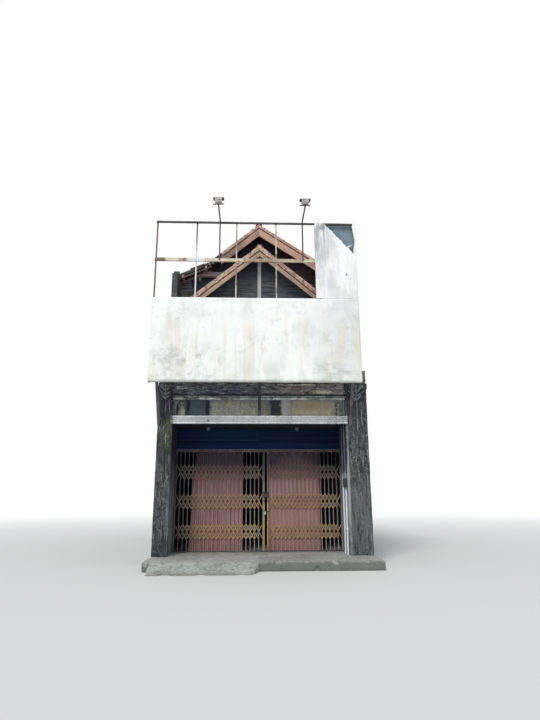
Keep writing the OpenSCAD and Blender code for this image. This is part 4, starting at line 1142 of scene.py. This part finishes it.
def fold(piece, size, depth, level):
    """Soft folds across the sheet: clouds stretched upright or level by the size."""
    lumps = bpy.data.textures.new("folds", "CLOUDS")
    lumps.noise_scale, lumps.noise_depth = 1.0, 1
    guide = bpy.data.objects.new("guide", None)
    bpy.context.scene.collection.objects.link(guide)
    guide.scale = size
    bpy.context.view_layer.update()
    modify(piece, "DISPLACE", texture=lumps, texture_coords="OBJECT", texture_coords_object=guide,
           strength=depth, mid_level=level, direction="Y")
    bpy.data.objects.remove(guide)


def hung_sheet(name, node, cells, folds, finish, slot, torn=None):
    """A thin sheet in its node's place, cut by a test on each face's centre, with its folds."""
    low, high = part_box(node)
    piece = grid(name, (low.x, high.x), (low.z, high.z), low.y + 0.0015, *cells)
    if torn:
        with editing(piece, lambda face: torn(face.center)):
            bpy.ops.mesh.delete(type="FACE")
    for size, depth, level in folds:
        fold(piece, size, depth, level)
    settle(thicken(piece, 0.002), finish, slot, node, smooth=180)
    return piece, high.x - low.x, high.z - low.z


def sign_sheets():
    """The two vinyl sheets stretched on the frame, and the grey one behind the torn corner."""
    lower, width, height = hung_sheet(
        "lower_vinyl", "sign_sheet_lower", (160, 70),
        [((0.8, 1, 0.5), 0.018, 0.85), ((2.4, 1, 0.06), 0.004, 0.8)], "sign vinyl", "vinyl_sheet")

    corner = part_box("sign_sheet_upper")[1]
    tear = (0.75, 0.86)

    def torn(place):
        across = (place.x - (corner.x - tear[0])) / tear[0]
        down = (corner.z - place.z) / tear[1]
        wave = 0.012 * math.sin(place.x * 31) + 0.008 * math.sin(place.x * 83 + 1)
        hem = corner.x - 0.05 + 0.02 * math.sin(place.z * 9)
        return across > down + wave and place.x <= hem

    upper, width, height = hung_sheet(
        "torn_vinyl", "sign_sheet_upper", (76, 150),
        [((0.16, 1, 1.3), 0.026, 0.85), ((0.9, 1, 0.12), 0.006, 0.8)], "sign vinyl", "vinyl_sheet", torn)

    back, width, height = hung_sheet(
        "back_vinyl", "sign_back_sheet", (40, 40), [((0.25, 1, 0.5), 0.02, 0.5)], "vinyl back", "vinyl_back")


def frame_bolts():
    """Bolt heads with washers where the rails cross the posts of the sign frame."""
    low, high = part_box("sign_rails")
    half_post, bays, rows = 0.02, 5, 4
    x, z = low.x + half_post, low.z + half_post
    washer = rod("frame_bolts", (x, low.y - 0.0015, z), 0.013, 0.003, TO_STREET, 12)
    head = rod("head", (x, low.y - 0.006, z), 0.008, 0.008, TO_STREET, 6)
    piece = join("frame_bolts", [washer, head])
    array(piece, bays + 1, ((high.x - half_post - x) / bays, 0, 0))
    array(piece, rows + 1, (0, 0, (high.z - half_post - z) / rows))
    settle(piece, "sign steel", "sign_steel")


def floodlights():
    """Finned lamp bodies under a dark hood, with a sunken front turned to the sign."""
    low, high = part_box("floodlights")
    half = 0.125
    for name, x in (("left_floodlight", low.x + half), ("right_floodlight", high.x - half)):
        body = block(name, (x - 0.078, low.y + 0.01, low.z + 0.024),
                     (x + 0.078, high.y - 0.01, high.z - 0.03))
        bevel(recess(body, (0, 1, 0), 0.012, 0.012), 0.006, 3)
        fin = block("fin", (x - 0.08, low.y + 0.004, low.z + 0.034), (x - 0.077, low.y + 0.03, high.z - 0.04))
        array(fin, 17, (0.0098, 0, 0))
        bar = block("bar", (x - 0.12, low.y + 0.05, low.z), (x + 0.12, low.y + 0.1, low.z + 0.018))
        bevel(bar, 0.004)
        settle(join(name, [body, fin, bar]), "floodlight shell", "floodlight_shell", "floodlights")
        hood = block(name + "_hood", (x - 0.122, low.y + 0.02, high.z - 0.03),
                     (x + 0.122, high.y - 0.02, high.z - 0.008))
        bevel(recess(hood, (0, 0, -1), 0.006, 0.014), 0.003)
        stub = rod("stub", (x, low.y + 0.075, high.z - 0.002), 0.014, 0.02, sides=12)
        settle(join(name + "_hood", [hood, stub]), "lamp steel", "lamp_steel")


# Gate and porch

def folded_gate_sheets():
    """Thin plates behind the gate, folded to a shallow zigzag between the bars; one leans at its top."""
    low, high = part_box("gate_backing_sheets")
    parts = []
    for side, lean in (("left", 0.14), ("right", 0.0)):
        start, end = SHEET_ENDS[side]
        folds = round((end - start) / 0.046)
        pitch = (end - start) / folds
        sheet = grid("folded_gate_sheets", (start, end), (low.z, high.z), low.y + 0.002, folds, 1)
        with editing(sheet, lambda vertex: round((vertex.co.x - start) / pitch) % 2 == 1, "VERT"):
            bpy.ops.transform.translate(value=(0, 0.012, 0))
        if lean:
            with editing(sheet, lambda v: v.co.z > high.z - 0.01 and v.co.x < start + lean, "VERT"):
                bpy.ops.transform.resize(value=(0.2, 1, 1), center_override=(start + lean, 0, 0))
        parts.append(thicken(sheet, 0.0015))
    settle(join("folded_gate_sheets", parts), "gate sheet paint", "gate_sheet_paint", "gate_backing_sheets",
           smooth=20)


def leaf_places(side):
    """The middle of a leaf's first bar, and the bars' pitch and count."""
    low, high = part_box("gate_" + side + "_bars")
    span = high.x - low.x - BAR_WIDTH
    count = math.floor(span / 0.092 + 0.001) + 1
    return low.x + BAR_WIDTH / 2, span / (count - 1), count


def gate_leaves():
    """Channel bars and flat links of both leaves, and the stiles between them."""
    for side in ("left", "right"):
        low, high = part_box("gate_" + side + "_bars")
        pitch, count = leaf_places(side)[1:]
        bar = block(side + "_gate_bars", low, (low.x + BAR_WIDTH, high.y, high.z))
        array(bevel(recess(bar, (0, -1, 0), 0.0035, 0.012), 0.001, 1), count, (pitch, 0, 0))
        settle(bar, "gate bar paint", "gate_steel", "gate_" + side + "_bars")
        links = bevel(copy_of("gate_" + side + "_links", side + "_gate_links"), 0.0012, 1)
        settle(links, "gate link paint", "gate_steel", "gate_" + side + "_links")
    stiles = bevel(copy_of("gate_stiles", "meeting_stiles"), 0.003)
    settle(stiles, "stile paint", "gate_stile_paint", "gate_stiles")


def gate_rivets():
    """A domed rivet wherever two links cross or end on a bar, in three bands of three rows."""
    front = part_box("gate_left_links")[0].y
    first_band, row, band = 0.43, 0.165, 0.66
    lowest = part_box("plinth")[1].z + first_band - row
    for side in ("left", "right"):
        first, pitch, count = leaf_places(side)
        rivet = ball("gate_rivets_" + side, (first, front, lowest), (0.008, 0.005, 0.008),
                     rings=5, segments=8)
        array(rivet, count, (pitch, 0, 0))
        array(rivet, 3, (0, 0, row))
        array(rivet, 3, (0, 0, band))
        settle(rivet, "gate link paint", "gate_steel")


def gate_runners():
    """Hangers with rollers in the track over every second bar."""
    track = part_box("gate_track")[0]
    for side in ("left", "right"):
        first, pitch, count = leaf_places(side)
        name = "gate_runners_" + side
        strap = block(name, (first - 0.012, track.y - 0.004, track.z - 0.05),
                      (first + 0.012, track.y + 0.001, track.z + 0.04))
        wheel = rod("wheel", (first, track.y - 0.008, track.z + 0.02), 0.017, 0.012, TO_STREET)
        piece = bevel(join(name, [strap, wheel]), 0.0015, 1)
        array(piece, (count + 1) // 2, (2 * pitch, 0, 0))
        settle(piece, "track paint", "gate_steel")


def gate_lock():
    """Lock case with its keyhole plate and pull handles on both stiles, and a padlock below it."""
    low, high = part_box("gate_latch")
    middle = (low.x + high.x) / 2
    case = block("gate_lock", (low.x, low.y, high.z - 0.12), high)
    with editing(case, lambda face: face.normal.y < -0.9):
        bpy.ops.mesh.inset(thickness=0.012, depth=-0.004)
    bar = block("bar", (low.x, high.y - 0.012, low.z), (high.x, high.y, low.z + 0.03))
    parts = [bevel(case, 0.003), bevel(bar, 0.003)]
    for x in (low.x + 0.019, high.x - 0.019):
        parts.append(ring("pull", (x, low.y - 0.012, high.z - 0.2), 0.024, 0.005, ACROSS))
        parts.append(rod("bolt", (x, high.y - 0.012, low.z + 0.015), 0.008, 0.012, TO_STREET, 12))
    parts.append(rod("keyhole", (middle, low.y + 0.002, high.z - 0.06), 0.012, 0.012, TO_STREET))
    settle(join("gate_lock", parts), "latch steel", "latch_steel", "gate_latch")
    x = middle - 0.025
    body = block("padlock", (x - 0.028, low.y - 0.012, low.z - 0.052), (x + 0.028, low.y + 0.012, low.z))
    shackle = ring("shackle", (x, low.y, low.z + 0.004), 0.018, 0.005)
    settle(join("padlock", [bevel(body, 0.006, 3), shackle]), "padlock steel", "latch_steel")


def pipe_clamp():
    """Dark clamp box on the front pipe of the right jamb."""
    low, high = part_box("jamb_pipes")
    piece = block("pipe_clamp", (low.x - 0.02, low.y - 0.05, 1.56), (high.x, low.y + 0.12, 1.76))
    settle(bevel(recess(piece, (-1, 0, 0), 0.014, -0.008), 0.004), "clamp plastic", "latch_steel")


def ceiling_lamps():
    """Opal bowls on round plates under the porch ceiling."""
    low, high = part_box("ceiling_lamps")
    radius, plate_depth = 0.055, 0.012
    y, rim = (low.y + high.y) / 2, high.z - plate_depth
    for name, x in (("left_ceiling_lamp", low.x + radius), ("right_ceiling_lamp", high.x - radius)):
        bowl = ball(name, (x, y, rim), (radius * 0.92, radius * 0.92, rim - low.z), rings=14, segments=28)
        cut(bowl, (0, 0, rim), (0, 0, 1))
        plate = bevel(rod("plate", (x, y, high.z - plate_depth / 2), radius, plate_depth, sides=28), 0.003)
        settle(join(name, [bowl, plate]), "lamp opal", "lamp_glass", "ceiling_lamps")


# Back of the house

def back_door():
    """Panelled back door with a lever."""
    low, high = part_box("back_door")
    rail, out = 0.1, 0.012
    half = (high.x - low.x - rail) / 2
    parts = [bevel(block("panelled_back_door", low, high), 0.003)]
    for left in (low.x + rail, low.x + rail + half):
        for bottom, top in ((0.18, 0.85), (0.98, 1.95)):
            for y in (high.y, low.y):
                parts.append(bevel(block("panel", (left, y - out, low.z + bottom),
                                         (left + half - rail, y + out, low.z + top)), 0.008, 1))
    hand = low.z + 1.0
    parts.append(rod("lever", (low.x + 0.11, high.y + 0.045, hand), 0.009, 0.12, ACROSS, 12))
    parts.append(rod("stem", (low.x + 0.06, high.y + 0.022, hand), 0.01, 0.05, TO_STREET, 12))
    settle(join("panelled_back_door", parts), "door wood", "door_wood", "back_door")


def window_bars():
    """Upright bars with two flats across, inside each light of the back windows."""
    parts = []
    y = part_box("back_window_glass")[1].y + 0.02
    for x, sill in ((-1.15, 1.13), (-1.15, 4.65), (1.15, 4.65)):
        for left in (x - 0.44, x + 0.03):
            bar = rod("back_window_bars", (left + 0.06, y, sill + 0.6), 0.006, 1.09, sides=10)
            parts.append(array(bar, 4, (0.097, 0, 0)))
            for z in (sill + 0.35, sill + 0.85):
                parts.append(block("flat", (left, y - 0.003, z - 0.012), (left + 0.41, y + 0.003, z + 0.012)))
    settle(join("back_window_bars", parts), "lamp steel", "gate_steel")


# View and light

def set_camera():
    """The photograph's view, fitted to the house's own edges."""
    pitch, yaw, roll = (math.radians(v) for v in (14.515, 2.115, 0.192))
    ahead = Vector((math.sin(yaw) * math.cos(pitch), math.cos(yaw) * math.cos(pitch), math.sin(pitch)))
    right = Vector((math.cos(yaw), -math.sin(yaw), 0))
    up = right.cross(ahead)
    leaned_right = right * math.cos(roll) - up * math.sin(roll)
    leaned_up = up * math.cos(roll) + right * math.sin(roll)
    turn = Matrix((leaned_right, leaned_up, -ahead)).transposed().to_4x4()
    turn.translation = Vector((-0.184, -11.522, 1.42))
    lens = bpy.data.cameras.new("street camera")
    lens.sensor_fit, lens.sensor_height, lens.lens = "VERTICAL", 36, 26
    camera = bpy.data.objects.new("street camera", lens)
    camera.matrix_world = turn
    bpy.context.scene.collection.objects.link(camera)
    bpy.context.scene.camera = camera


def seen_directly(tree):
    """1 for what the camera sees straight, in gloss or through glass."""
    path = add(tree, "LightPath").outputs
    direct = calculate(tree, "MAXIMUM", path["Is Camera Ray"], path["Is Glossy Ray"])
    return calculate(tree, "MAXIMUM", direct, path["Is Transmission Ray"])


def set_studio():
    """Plain soft light, a white backdrop and a pale floor that fades into it."""
    scene = bpy.context.scene
    scene.view_settings.view_transform = "Standard"
    scene.world = bpy.data.worlds.new("studio")
    tree = bare_tree(scene.world)
    soft = add(tree, "Background", {"Color": (0.88, 0.95, 1.0, 1), "Strength": 0.68})
    white = add(tree, "Background", {"Color": (1, 1, 1, 1), "Strength": 1.0})
    mixed = add(tree, "MixShader", {0: seen_directly(tree), 1: soft.outputs[0], 2: white.outputs[0]})
    add(tree, "OutputWorld", {"Surface": mixed.outputs[0]})
    sun = bpy.data.lights.new("high softbox", "SUN")
    sun.energy, sun.angle, sun.color = 1.6, math.radians(18), (1.0, 0.97, 0.92)
    lamp = bpy.data.objects.new("high softbox", sun)
    lamp.rotation_euler = (math.radians(42), 0, math.radians(-24))
    scene.collection.objects.link(lamp)

    deselect()
    bpy.ops.mesh.primitive_plane_add(size=160)
    floor = name_new("studio_floor")
    material = bpy.data.materials.new("studio floor")
    tree = bare_tree(material)
    matt = add(tree, "BsdfDiffuse", {"Color": (0.72, 0.72, 0.71, 1)})
    glow = add(tree, "Emission", {"Color": (1, 1, 1, 1), "Strength": 1.0})
    place = add(tree, "TexCoord").outputs["Object"]
    away = add(tree, "VectorMath", {0: place}, operation="LENGTH").outputs["Value"]
    fade = calculate(tree, "MULTIPLY", ease(tree, away, 9.0, 34.0), seen_directly(tree))
    mixed = add(tree, "MixShader", {0: fade, 1: matt.outputs[0], 2: glow.outputs[0]})
    add(tree, "OutputMaterial", {"Surface": mixed.outputs[0]})
    floor.data.materials.append(material)


set_camera()
set_studio()
dress_cad_nodes()
worn_masonry()
worn_porch()
pier_heads()
corner_fillets()
ribbed_moulding()
broken_ramp()
roofs()
broken_eave()
mortar_dabs()
ridge_tiles("low_ridge_tiles", "low_ridge_cap", 0.068)
ridge_tiles("main_ridge_tiles", "main_ridge_cap", 0.055)
gable_woodwork()
sign_sheets()
folded_gate_sheets()
gate_leaves()
gate_rivets()
gate_runners()
gate_lock()
pipe_clamp()
ceiling_lamps()
floodlights()
frame_bolts()
back_door()
window_bars()
